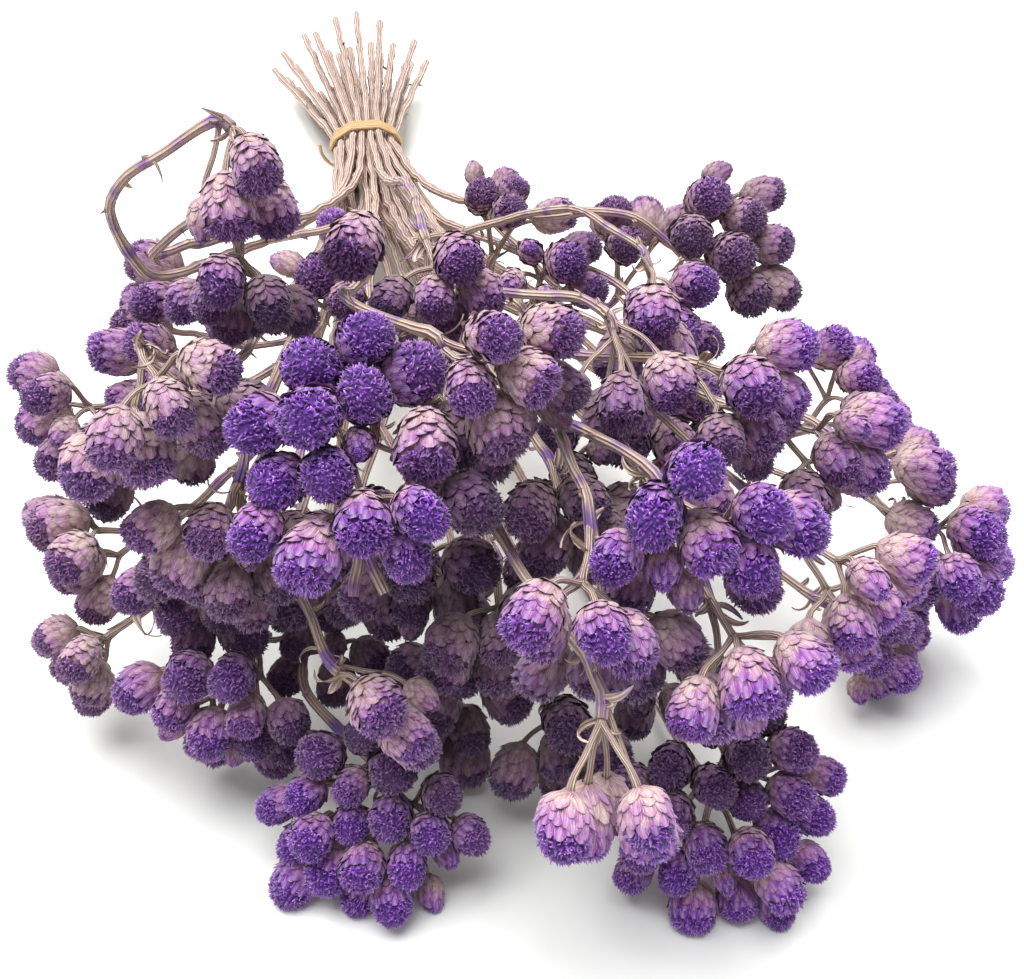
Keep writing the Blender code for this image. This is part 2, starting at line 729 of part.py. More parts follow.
def rest_flat(spray):
    """Clean a spray's mesh, and cut it off level where it presses into the surface."""
    shape = bmesh.new()
    shape.from_mesh(spray.data)
    bmesh.ops.remove_doubles(shape, verts=shape.verts[:], dist=SLIVER * MM)
    if min(vertex.co.z for vertex in shape.verts) < 0.0:
        everything = shape.verts[:] + shape.edges[:] + shape.faces[:]
        bmesh.ops.bisect_plane(shape, geom=everything, plane_co=(0, 0, 0), plane_no=(0, 0, -1), clear_outer=True)
        bmesh.ops.holes_fill(shape, edges=[edge for edge in shape.edges if edge.is_boundary])
    shape.to_mesh(spray.data)
    shape.free()


def build_sprays(skeleton):
    for index, (name, stems) in enumerate(skeleton.sprays.items()):
        mauve = 0.5 + 0.5 * sin(index * 2.1)
        colour = (0.20 + 0.12 * mauve, 0.13 + 0.09 * mauve, 0.34 - 0.08 * mauve)
        made_of = material(name, colour, 0.85)
        main_radii = (STEM_RADIUS, STEM_RADIUS, SIDE_STEM_RADIUS)
        side_radii = (SIDE_ROOT_RADIUS, SIDE_STEM_RADIUS, BRANCH_RADIUS)
        main_body = stem_body(stems[0], skeleton.points, main_radii)
        spray = new_object(name, main_body, made_of, bpy.context.scene.collection)
        if len(stems) > 1:
            side_bodies = [stem_body(stem, skeleton.points, side_radii) for stem in stems[1:]]
            fuse_side_stems(spray, side_bodies, made_of)
        rest_flat(spray)


def build_band():
    """The band round the waist, which follows the outline of the stems."""
    level, down = cross_frame(-TAIL)
    slots = waist_slots()
    outline = []
    for side in range(BAND_SIDES):
        angle = tau * side / BAND_SIDES
        out = level * cos(angle) - down * sin(angle)
        furthest = max(slots, key=lambda slot: slot.dot(out))
        outline.append((furthest, out))
    body = Body()
    for along, thickness in ((-0.5, 0.0), (-0.5, 1.0), (0.5, 1.0), (0.5, 0.0)):
        for slot, out in outline:
            reach = STEM_RADIUS + GAP + thickness * BAND_THICKNESS
            body.corners.append(WAIST + slot + out * reach + TAIL * along * BAND_WIDTH)
    for ring in range(4):
        for side in range(BAND_SIDES):
            a = ring * BAND_SIDES + side
            b = ring * BAND_SIDES + (side + 1) % BAND_SIDES
            c = (ring + 1) % 4 * BAND_SIDES + (side + 1) % BAND_SIDES
            d = (ring + 1) % 4 * BAND_SIDES + side
            body.faces.append((a, b, c, d))
    tan = material("tie_band", (0.45, 0.3, 0.16), 0.7)
    band = new_object("tie_band", body, tan, bpy.context.scene.collection)
    shape = bmesh.new()
    shape.from_mesh(band.data)
    bmesh.ops.recalc_face_normals(shape, faces=shape.faces[:])
    shape.to_mesh(band.data)
    shape.free()


def main():
    for old in list(bpy.data.objects):
        bpy.data.objects.remove(old, do_unlink=True)
    skeleton = grow()
    space_out(skeleton)
    build_sprays(skeleton)
    build_band()


main()
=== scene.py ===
"""The bunch of dried lonas, dressed: fine stems, scaly button heads, leaf scraps and the tie."""
import random
from collections import namedtuple
from math import cos, pi, radians, sin, sqrt, tau

import bpy
import numpy as np
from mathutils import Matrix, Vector


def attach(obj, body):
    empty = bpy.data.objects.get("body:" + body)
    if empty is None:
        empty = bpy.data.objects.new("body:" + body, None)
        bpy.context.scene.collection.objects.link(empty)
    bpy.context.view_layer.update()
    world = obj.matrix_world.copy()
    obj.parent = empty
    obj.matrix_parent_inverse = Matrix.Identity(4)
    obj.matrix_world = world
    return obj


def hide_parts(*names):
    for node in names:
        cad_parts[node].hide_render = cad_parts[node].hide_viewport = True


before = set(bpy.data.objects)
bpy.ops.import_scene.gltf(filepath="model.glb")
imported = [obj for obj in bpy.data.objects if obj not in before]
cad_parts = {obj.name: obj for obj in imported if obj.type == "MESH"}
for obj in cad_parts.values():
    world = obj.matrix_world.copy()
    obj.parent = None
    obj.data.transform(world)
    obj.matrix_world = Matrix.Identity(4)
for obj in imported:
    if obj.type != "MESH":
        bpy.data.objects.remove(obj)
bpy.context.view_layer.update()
bpy.ops.object.select_all(action="DESELECT")

# The bunch as it grew and was laid down. Stems close up at the tie, fan out and arch forward, and
# each ends in flat clusters of button heads. Here are only the lines of the stems and the places of
# the heads, as in the solids. Lengths are in millimetres until a mesh is made.
MM = 0.001

# The middle of the bunch's outline, seen from above: it comes to the origin.
MIDDLE = Vector((-0.4, 18.9, 0.0))

# Stems, branches and stalks, by radius.
STEM_RADIUS = 1.15
SIDE_STEM_RADIUS = 0.85
BRANCH_RADIUS = 0.65
STALK_RADIUS = 0.45

# Button heads of the middle size: width across the bract tips, and length from stalk to crown.
HEAD_WIDTH = 8.4
HEAD_LENGTH = 10.2
HEAD_PITCH = 7.9
DROOP = 0.9
AXIS_JITTER = 0.22
DEPTH_JITTER = 1.6
HEAD_SIZES = (0.84, 1.08)
BUD_SIZES = (0.6, 0.74)
BUD_SHARE = 0.1
CORYMB_DOME = 26.0
STUB_SPREAD = (1.4, -3.2)
SPIRAL_GROWTH = 0.53
SPIRAL_START = 0.4
GOLDEN_TURN = pi * (3.0 - sqrt(5.0))

# A corymb of up to UNBRANCHED heads has its stalks on the stem, and a larger one has branches.
UNBRANCHED = 5
HEADS_PER_BRANCH = 3.6
BRANCH_SHARE = 0.55
FORK_STEPS = (6.4, 3.2, 0.0)
FORK_REACH = 8.5
FORK_GROWTH = 2.2

# The waist, where the stems lie side by side in rows, and the fan of the cut ends behind it.
WAIST = Vector((-50.0, 118.0, 15.0))
TAIL = Vector((-0.16, 0.985, -0.03)).normalized()
ROWS = (6, 7, 8, 7, 4)
STEM_PITCH = 2.75
WAIST_LENGTH = 12.0
TAIL_LENGTH = 84.0
TAIL_JITTER = 14.0
TAIL_FAN = 2.9
CUT_END_HEIGHT = 0.95

# Stems bend smoothly through a few points. Shares along a stem where it has a point of its own.
MAIN_STATIONS = (0.2, 0.4, 0.56, 0.7, 0.83)
SIDE_STATIONS = (0.35, 0.65)
BEND_SPACING = 4.0
SIDE_STEM_START = 0.62
LONGEST_ARRIVAL = 90.0
PATH_PARTS = 16

# Spacing of the limbs, and how far a head and a stem may press into the surface.
CLEARANCE = 0.85
WAIST_CLEARANCE = 0.4
CORYMB_CLEARANCE = 0.1
HEAD_PRESS = 0.7
STEM_PRESS = 0.2
HOLD_SHAPE = 0.3
LAST_HOLD_SHAPE = 0.04
HOLD_PLACE = 0.01

# The easing goes by small steps at this pace, and its last part holds the shapes less. After every few
# steps it looks again for limbs that come near each other. The give softens each push a little.
EASE_STEPS = 260
EASE_PACE = 1.6
LAST_PART = 0.75
LOOK_EVERY = 8
LOOK_MARGIN = 3.0
EASE_GIVE = 0.02
SEED = 25

# Each spray lists its corymbs: middle, the way it faces, number of heads, and points that its stem
# bends through. The first corymb ends the main stem and the others stand on side stems.
SPRAYS = {
    "spray_top_left_loop": (
        ((-44, -99, 98), (0.2, -0.7, -0.5), 4, ((-66, -80, 74), (-69, -89, 92), (-60, -90, 101))),
        ((-31, -93, 88), (-0.3, -0.8, 0.2), 1, ()),
    ),
    "spray_upper_left": (((-44, -103, 82), (0.0, -0.6, -0.7), 8, ((-64, -84, 80), (-56, -88, 88))),),
    "spray_left_edge": (
        ((-80, -97, 53), (-0.7, -0.6, -0.1), 9, ()),
        ((-69, -72, 67), (-0.8, 0.0, 0.5), 6, ()),
    ),
    "spray_left_shoulder": (((-67, -96, 59), (-0.6, -0.7, 0.3), 8, ()),),
    "spray_left_front": (((-49, -129, 74), (0.4, -0.6, -0.6), 11, ((-46, -103, 75), (-54, -114, 81))),),
    "spray_left_below": (
        ((-46, -130, 53), (0.0, -0.9, -0.3), 9, ()),
        ((-55, -123, 37), (0.0, -1.0, 0.1), 7, ()),
    ),
    "spray_crown": (
        ((-25, -137, 82), (0.1, -0.75, 0.6), 15, ()),
        ((-25, -140, 56), (0.1, -0.75, -0.65), 0, ((-33, -118, 66),)),
    ),
    "spray_middle_front": (((-3, -131, 80), (0.5, -0.7, -0.15), 12, ((-32, -92, 80), (-18, -114, 85))),),
    "spray_middle_top": (
        ((-16, -96, 78), (0.1, -0.7, -0.3), 7, ()),
        ((7, -64, 66), (0.3, -0.5, 0.6), 7, ()),
    ),
    "spray_right_arch": (
        ((15, -112, 68), (0.1, -0.8, -0.5), 5, ((-12, -78, 72), (8, -90, 76))),
        ((20, -96, 72), (0.0, -0.7, -0.4), 3, ()),
    ),
    "spray_right_top": (
        ((42, -52, 70), (0.5, -0.5, 0.6), 9, ((0, -28, 62), (20, -40, 67))),
        ((22, -34, 64), (0.2, 0.2, 0.9), 6, ()),
    ),
    "spray_back_top": (((-3, -22, 66), (0.2, 0.1, 0.95), 6, ()),),
    "spray_right_upper": (((28, -80, 58), (0.5, -0.7, 0.1), 6, ((4, -48, 60), (18, -62, 63))),),
    "spray_right_shoulder": (((68, -69, 44), (0.7, -0.1, 0.6), 8, ()),),
    "spray_right_inner": (
        ((36, -116, 72), (0.6, -0.7, -0.1), 7, ((6, -92, 68), (18, -101, 73))),
        ((51, -137, 49), (0.6, -0.7, -0.3), 9, ()),
    ),
    "spray_right_middle": (
        ((52, -113, 57), (0.7, -0.6, -0.2), 7, ((29, -92, 60),)),
        ((72, -97, 42), (0.9, -0.2, 0.2), 4, ()),
    ),
    "spray_right_edge": (((80, -100, 27), (0.8, -0.5, -0.2), 7, ((58, -80, 42),)),),
    "spray_right_low": (((72, -106, 12), (0.8, -0.6, -0.1), 13, ()),),
    "spray_centre_right": (((22, -150, 69), (0.2, -0.9, 0.0), 11, ((6, -112, 68), (15, -130, 73))),),
    "spray_front_right_hanging": (((31, -155, 50), (0.3, -0.8, -0.5), 9, ()),),
    "spray_centre": (
        ((10, -153, 57), (0.0, -0.8, -0.5), 8, ()),
        ((21, -128, 21), (0.1, -0.9, 0.0), 6, ()),
    ),
    "spray_front_hanging": (
        ((9, -171, 45), (0.0, -0.6, -0.8), 5, ((-5, -120, 57), (3, -142, 58))),
        ((5, -134, 12), (0.1, -0.9, -0.1), 6, ()),
    ),
    "spray_floor_right": (((33, -152, 17), (0.1, -0.8, 0.45), 24, ()),),
    "spray_floor_left": (
        ((-27, -152, 13), (-0.1, -0.85, 0.35), 21, ((-39, -125, 22),)),
        ((-36, -120, 24), (0.1, -0.9, 0.3), 7, ()),
    ),
    "spray_left_low": (((-52, -133, 20), (-0.2, -0.9, -0.2), 14, ()),),
    "spray_left_edge_low": (((-80, -119, 21), (-0.7, -0.6, -0.3), 6, ()),),
    "spray_left_edge_middle": (((-80, -108, 37), (-0.8, -0.5, 0.1), 6, ()),),
    "spray_front_inner": (
        ((-19, -147, 37), (0.8, -0.6, 0.0), 4, ((-40, -112, 44), (-36, -128, 40))),
        ((-17, -131, 44), (0.2, -0.9, -0.2), 7, ()),
    ),
    "spray_inner": (
        ((6, -127, 55), (0.2, -0.9, -0.3), 7, ()),
        ((-30, -118, 40), (0.1, -1.0, 0.2), 7, ()),
    ),
    "spray_middle_low": (
        ((-6, -132, 41), (0.1, -0.9, -0.2), 7, ()),
        ((-12, -130, 18), (0.0, -0.9, 0.1), 7, ()),
    ),
    "spray_middle_back": (((-40, -50, 62), (-0.2, -0.3, 0.9), 6, ()),),
    "spray_middle_right": (
        ((27, -89, 46), (0.3, -0.8, 0.3), 6, ()),
        ((10, -100, 45), (0.1, -0.8, 0.4), 6, ()),
    ),
}

# Sprays whose heads are smaller or larger than the middle size.
HEAD_SCALES = {
    "spray_floor_left": 0.86, "spray_floor_right": 0.86, "spray_right_low": 0.88, "spray_left_low": 0.9,
    "spray_upper_left": 0.86, "spray_middle_top": 0.92, "spray_left_edge_low": 0.92,
    "spray_back_top": 0.92, "spray_top_left_loop": 1.1, "spray_right_edge": 1.1,
    "spray_middle_right": 1.1, "spray_middle_back": 1.05, "spray_inner": 1.05,
}

# Sprays whose chances were drawn again, because limbs of the first draw crossed.
DRAWS = {
    "spray_back_top": 150, "spray_floor_left": 75, "spray_front_inner": 282, "spray_left_below": 197,
    "spray_left_edge": 196, "spray_left_front": 107, "spray_left_low": 149, "spray_left_shoulder": 213,
    "spray_middle_back": 247, "spray_middle_front": 265, "spray_middle_low": 291,
    "spray_middle_right": 199, "spray_right_edge": 348, "spray_right_inner": 172,
    "spray_right_top": 399, "spray_right_upper": 254, "spray_upper_left": 13,
}


def smooth_path(keys, leaving, arriving, stations):
    """Points on a smooth curve through the keys, at the given shares and then at the fork steps."""
    bends = [(after - before).normalized() for before, after in zip(keys[:-2], keys[2:])]
    ways = [leaving] + bends + [arriving]
    fine = []
    for index, (start, end) in enumerate(zip(keys[:-1], keys[1:])):
        chord = (end - start).length
        out = ways[index] * chord
        into = ways[index + 1] * min(chord, LONGEST_ARRIVAL)
        for part in range(PATH_PARTS):
            t = part / PATH_PARTS
            fine.append(
                start * (2 * t**3 - 3 * t**2 + 1)
                + out * (t**3 - 2 * t**2 + t)
                + end * (3 * t**2 - 2 * t**3)
                + into * (t**3 - t**2)
            )
    fine.append(keys[-1])
    travelled = [0.0]
    for before, after in zip(fine[:-1], fine[1:]):
        travelled.append(travelled[-1] + (after - before).length)
    last = travelled[-1]
    at_bends = [travelled[part] for part in range(PATH_PARTS, len(fine) - 1, PATH_PARTS // 2)]
    goals = []
    for goal in sorted([share * last for share in stations] + at_bends):
        if goal < last - FORK_STEPS[0] - BEND_SPACING and (not goals or goal > goals[-1] + BEND_SPACING):
            goals.append(goal)
    goals += [last - step for step in FORK_STEPS]
    points = []
    for goal in goals:
        index = min(next(i for i, s in enumerate(travelled) if s >= goal - 1e-9), len(fine) - 1)
        if index == 0:
            points.append(fine[0].copy())
            continue
        step = travelled[index] - travelled[index - 1]
        points.append(fine[index - 1].lerp(fine[index], (goal - travelled[index - 1]) / step))
    return points


def cross_frame(axis):
    """Two unit vectors square to an axis: one level where it can be, and one that points down."""
    level = axis.cross(Vector((0.0, 0.0, 1.0)))
    if level.length < 0.1:
        level = axis.cross(Vector((1.0, 0.0, 0.0)))
    level.normalize()
    return level, axis.cross(level)


def waist_slots():
    """Offsets of the stems in their rows at the waist, the lowest row first."""
    level, down = cross_frame(-TAIL)
    slots = []
    for row, count in enumerate(ROWS):
        height = (row - (len(ROWS) - 1) / 2) * STEM_PITCH * sqrt(3.0) / 2
        for column in range(count):
            slots.append(level * (column - (count - 1) / 2) * STEM_PITCH - down * height)
    return slots


def slots_by_spray():
    """The slot of each spray: low sprays in the low rows, and each row in order from left to right."""
    slots = waist_slots()
    aims = {name: (Vector(corymbs[0][0]) - WAIST).normalized() for name, corymbs in SPRAYS.items()}
    names = sorted(SPRAYS, key=lambda name: aims[name].z)
    given = {}
    first = 0
    for count in ROWS:
        row = sorted(names[first:first + count], key=lambda name: aims[name].x)
        row_slots = sorted(slots[first:first + count], key=lambda slot: slot.x)
        given.update(zip(row, row_slots))
        first += count
    return given


Head = namedtuple("Head", "tip axis size")
Stub = namedtuple("Stub", "tip")
Branch = namedtuple("Branch", "joint limbs")
Stem = namedtuple("Stem", "chain limbs")


class Skeleton:
    """Points joined by limbs. Each spray is a list of stems with the branches and heads that they carry."""

    def __init__(self):
        self.points = []
        self.spray = []
        self.pinned = []
        self.limbs = []
        self.heads = []
        self.sprays = {}

    def add_point(self, place, spray, pinned=False):
        self.points.append(Vector(place))
        self.spray.append(spray)
        self.pinned.append(pinned)
        return len(self.points) - 1

    def add_limb(self, start, place, spray, radius, pinned=False):
        end = self.add_point(place, spray, pinned)
        self.limbs.append((start, end, radius))
        return end


def most_ahead(aims, start, way):
    """Indices of the aims, the one that lies straightest ahead first."""
    return sorted(range(len(aims)), key=lambda i: (aims[i] - start).normalized().dot(way), reverse=True)


def corymb_heads(middle, facing, count, scale, dice):
    """Turn about the middle, place, axis and size of each head, on a shallow dome."""
    level, across = cross_frame(facing)
    phase = dice.uniform(0.0, tau)
    heads = []
    for index in range(count):
        reach = HEAD_PITCH * scale * SPIRAL_GROWTH * sqrt(index + SPIRAL_START)
        turn = phase + index * GOLDEN_TURN
        out = level * cos(turn) + across * sin(turn)
        depth = reach**2 / (2 * CORYMB_DOME) + dice.uniform(-DEPTH_JITTER, DEPTH_JITTER)
        place = middle + out * reach - facing * depth
        jitter = Vector((dice.uniform(-1, 1), dice.uniform(-1, 1), dice.uniform(-1, 1))) * AXIS_JITTER
        axis = (facing + out * reach / CORYMB_DOME + jitter - Vector((0, 0, DROOP))).normalized()
        size = dice.uniform(*(BUD_SIZES if dice.random() < BUD_SHARE else HEAD_SIZES))
        heads.append((turn % tau, place, axis, size * scale))
    return sorted(heads, key=lambda head: head[0])


def grow_stalk(skeleton, spray, joint, head):
    _, place, axis, size = head
    tip = skeleton.add_limb(joint, place, spray, STALK_RADIUS)
    skeleton.heads.append((joint, tip, size))
    return Head(tip, axis, size)


def grow_corymb(skeleton, spray, chain, middle, facing, count, scale, dice):
    """A stem that ends in a corymb: one limb carries on from its end, and the others leave its sides."""
    fork = skeleton.points[chain[-1]]
    if count == 0:
        level, _ = cross_frame(facing)
        ends = [middle + level * side for side in STUB_SPREAD]
        return Stem(chain, [Stub(skeleton.add_limb(chain[-1], end, spray, STALK_RADIUS)) for end in ends])
    heads = corymb_heads(middle, facing, count, scale, dice)
    if count <= UNBRANCHED:
        order = most_ahead([head[1] for head in heads], fork, facing)
        limbs = [grow_stalk(skeleton, spray, chain[-1 - turn % 2], heads[i]) for turn, i in enumerate(order)]
        return Stem(chain, limbs)
    branches = round(count / HEADS_PER_BRANCH)
    groups = [heads[i * count // branches:(i + 1) * count // branches] for i in range(branches)]
    aims = [sum((head[1] for head in group), Vector()) / len(group) for group in groups]
    limbs = []
    for turn, branch in enumerate(most_ahead(aims, fork, facing)):
        root = chain[-1 - turn % 2]
        place = skeleton.points[root].lerp(aims[branch], BRANCH_SHARE)
        joint = skeleton.add_limb(root, place, spray, BRANCH_RADIUS)
        limbs.append(Branch(joint, [grow_stalk(skeleton, spray, joint, head) for head in groups[branch]]))
    return Stem(chain, limbs)


def stem_share(skeleton, main, share):
    """The place in a main stem of its point nearest to a share of the way from the waist to the fork."""
    runs = [(skeleton.points[a] - skeleton.points[b]).length for a, b in zip(main[2:-1], main[3:])]
    return 2 + min(range(len(runs)), key=lambda i: abs(sum(runs[:i]) - share * sum(runs)))


def grow():
    """The skeleton of the whole bunch, before its limbs are spaced."""
    skeleton = Skeleton()
    for spray, (name, slot) in enumerate(sorted(slots_by_spray().items())):
        dice = random.Random(SEED + spray + DRAWS.get(name, 0))
        tail = TAIL_LENGTH + dice.uniform(-TAIL_JITTER, TAIL_JITTER)
        back = WAIST + slot + TAIL * (WAIST_LENGTH / 2)
        front = WAIST + slot - TAIL * (WAIST_LENGTH / 2)
        cut_end = WAIST + slot * TAIL_FAN + TAIL * tail
        cut_end.z = max(cut_end.z, CUT_END_HEIGHT)
        main = [skeleton.add_point(cut_end, spray, True)]
        for place in (back, front):
            main.append(skeleton.add_limb(main[-1], place, spray, STEM_RADIUS, True))
        skeleton.sprays[name] = []
        scale = HEAD_SCALES.get(name, 1.0)
        for middle, facing, count, bends in SPRAYS[name]:
            middle = Vector(middle)
            facing = Vector(facing).normalized()
            fork = middle - facing * (FORK_REACH + FORK_GROWTH * sqrt(count))
            bends = [Vector(bend) for bend in bends]
            if not skeleton.sprays[name]:
                chain, radius, stations = main, STEM_RADIUS, MAIN_STATIONS
                leaving = -TAIL
            else:
                root = stem_share(skeleton, main, SIDE_STEM_START)
                chain, radius, stations = [main[root]], SIDE_STEM_RADIUS, SIDE_STATIONS
                along = (skeleton.points[main[root + 1]] - skeleton.points[main[root]]).normalized()
                leaving = (along + (fork - skeleton.points[chain[0]]).normalized()).normalized()
            keys = [skeleton.points[chain[-1]].copy()] + bends + [fork]
            for place in smooth_path(keys, leaving, facing, stations):
                chain.append(skeleton.add_limb(chain[-1], place, spray, radius))
            stem = grow_corymb(skeleton, spray, chain, middle, facing, count, scale, dice)
            skeleton.sprays[name].append(stem)
    return skeleton


def closest_shares(start_a, end_a, start_b, end_b):
    """How far along two sets of segments their closest points lie, each from 0 to 1."""
    run_a = end_a - start_a
    run_b = end_b - start_b
    apart = start_a - start_b
    aa = (run_a * run_a).sum(1) + 1e-12
    bb = (run_b * run_b).sum(1) + 1e-12
    ab = (run_a * run_b).sum(1)
    ra = (run_a * apart).sum(1)
    rb = (run_b * apart).sum(1)
    cross = aa * bb - ab * ab
    along_a = np.clip((ab * rb - ra * bb) / np.maximum(cross, 1e-9), 0.0, 1.0)
    along_b = np.clip((ab * along_a + rb) / bb, 0.0, 1.0)
    along_a = np.clip((ab * along_b - ra) / aa, 0.0, 1.0)
    return along_a, along_b


def space_out(skeleton):
    """Bend the limbs and shift the heads until the sprays clear each other and the surface.

    Stems and heads are round rods and balls here. Each step keeps every limb near its own shape,
    then parts what is too close, and lifts what lies under the surface.
    """
    points = np.array([list(point) for point in skeleton.points])
    home = points.copy()
    spray = np.array(skeleton.spray)
    loose = np.where(np.array(skeleton.pinned), 0.0, 1.0)
    limb_a = np.array([limb[0] for limb in skeleton.limbs])
    limb_b = np.array([limb[1] for limb in skeleton.limbs])
    limb_radius = np.array([limb[2] for limb in skeleton.limbs])
    shape = points[limb_b] - points[limb_a]
    joints = np.array([head[0] for head in skeleton.heads])
    tips = np.array([head[1] for head in skeleton.heads])
    head_size = np.array([head[2] for head in skeleton.heads])

    rod_a = np.concatenate((limb_a, tips))
    rod_b = np.concatenate((limb_b, tips))
    radius = np.concatenate((limb_radius, head_size * HEAD_LENGTH / 2))
    slim = np.concatenate((limb_radius, head_size * HEAD_WIDTH / 2))
    owner = np.concatenate((np.full(len(limb_a), -1), joints))
    first, second = np.triu_indices(len(rod_a), 1)
    same = spray[rod_a[first]] == spray[rod_a[second]]
    attached = rod_b[first] == owner[second]
    for end in (rod_a[first], rod_b[first]):
        attached |= (end == rod_a[second]) | (end == rod_b[second])
    keep = ~attached
    first, second, same = first[keep], second[keep], same[keep]
    at_waist = (loose[rod_a[first]] == 0) & (loose[rod_a[second]] == 0)
    need = radius[first] + radius[second] + np.where(at_waist, WAIST_CLEARANCE, CLEARANCE)
    need[same] = (slim[first] + slim[second] + CORYMB_CLEARANCE)[same]

    floor = np.zeros(len(points))
    np.maximum.at(floor, limb_a, limb_radius - STEM_PRESS)
    np.maximum.at(floor, limb_b, limb_radius - STEM_PRESS)
    floor[tips] = head_size * HEAD_WIDTH / 2 - HEAD_PRESS
    movable = loose > 0
    for step in range(EASE_STEPS):
        last_part = step > EASE_STEPS * LAST_PART
        stiffness = LAST_HOLD_SHAPE if last_part else HOLD_SHAPE
        drift = (points[limb_b] - points[limb_a]) - shape
        total = loose[limb_a] + loose[limb_b]
        total[total == 0] = 1.0
        move = np.zeros_like(points)
        count = np.ones(len(points))
        np.add.at(move, limb_a, drift * (stiffness * loose[limb_a] / total)[:, None])
        np.add.at(move, limb_b, -drift * (stiffness * loose[limb_b] / total)[:, None])
        np.add.at(count, limb_a, 0.5)
        np.add.at(count, limb_b, 0.5)
        points += move / count[:, None] * EASE_PACE
        if not last_part:
            points += (home - points) * HOLD_PLACE * loose[:, None]

        if step % LOOK_EVERY == 0:
            half = np.linalg.norm(points[rod_b] - points[rod_a], axis=1) / 2
            centre = (points[rod_b] + points[rod_a]) / 2
            reach = np.linalg.norm(centre[first] - centre[second], axis=1)
            near = reach < half[first] + half[second] + need + LOOK_MARGIN
            near_a, near_b, near_need = first[near], second[near], need[near]
        a0, a1, b0, b1 = rod_a[near_a], rod_b[near_a], rod_a[near_b], rod_b[near_b]
        s, t = closest_shares(points[a0], points[a1], points[b0], points[b1])
        spot_a = points[a0] + (points[a1] - points[a0]) * s[:, None]
        spot_b = points[b0] + (points[b1] - points[b0]) * t[:, None]
        between = spot_a - spot_b
        distance = np.linalg.norm(between, axis=1) + 1e-9
        close = distance < near_need
        a0, a1, b0, b1, s, t = a0[close], a1[close], b0[close], b1[close], s[close], t[close]
        push = between[close] / distance[close][:, None] * (near_need - distance)[close][:, None]
        weights = (1 - s, s, 1 - t, t)
        ends = (a0, a1, b0, b1)
        total = sum(loose[end] * weight**2 for end, weight in zip(ends, weights)) + EASE_GIVE
        move = np.zeros_like(points)
        count = np.zeros(len(points))
        for end, weight, sign in zip(ends, weights, (1, 1, -1, -1)):
            np.add.at(move, end, push * (sign * loose[end] * weight / total)[:, None])
            np.add.at(count, end, weight)
        points += move / np.maximum(count, 1.0)[:, None]
        points[:, 2] = np.where(movable, np.maximum(points[:, 2], floor), points[:, 2])
    skeleton.points = [Vector([float(value) for value in point]) for point in points]


skeleton = grow()
space_out(skeleton)
limb_start = {end: start for start, end, _ in skeleton.limbs}


# Stems, branches and stalks. Each is a cut, dried stem of the plant, ribbed along its length, with
# swollen nodes where leaves stood. They grew as one: side stems, branches and stalks leave it at forks.
# Violet dye has run into them in streaks, most of all at the forks and nodes near the heads.
LINE_STEP = 1.8
STALK_LINE_STEP = 1.3
STEM_SIDES = 10
STALK_SIDES = 7
RIB = 0.06
RIBS_ROUND = 8
SLIMNESS = 0.94
UNEVENNESS = 0.06
UNEVEN_LENGTH = 30.0
WOBBLE = 0.3
WOBBLE_LENGTH = 21.0
WOBBLE_FADE = 12.0
STALK_WOBBLE = 0.22
STALK_WOBBLE_LENGTH = 9.0
FIRST_NODE = (2.0, 10.0)
NODE_SPACING = (15.0, 34.0)
NODE_FREE_END = 14.0
NODE_SWELLING = 0.24
NODE_LENGTH = 1.5
FORK_SWELLING = 0.3
FORK_SWELLING_LENGTH = 3.2
FORK_SWELLING_BACK = 2.5
PITH_SHARE = 0.55
PITH_DEPTH = 0.35
ABOVE_BOARD = 0.02

# Dye in the stems: at the cut end, at the fork, at nodes and at the fork's swelling.
TAIL_DYE = 0.06
FORK_DYE = 0.85
NODE_DYE = 0.5
FORK_PATCH_DYE = 0.3
DYE_PATCH_LENGTH = 9.0
STALK_PATCH_LENGTH = 6.0

# The finishes of a spray, in the order of its materials. Each corner is marked: how much dye it took,
# how near the free tip of its scale or floret it lies and how near that scale's edge, a chance tone,
# and how dusky its spray is. On heads the dusk mark also carries painted shade for heads deep in the bunch.
STEM, SCALE, FLORET = range(3)
MARKS = ("dye", "tip", "edge", "tone", "dusk")


def marked(corners, dye=0.0, tip=0.0, edge=0.0, tone=0.0, dusk=0.0):
    """The marks of some corners, in the order of MARKS."""
    return np.stack([np.broadcast_to(mark, len(corners)) for mark in (dye, tip, edge, tone, dusk)], -1)


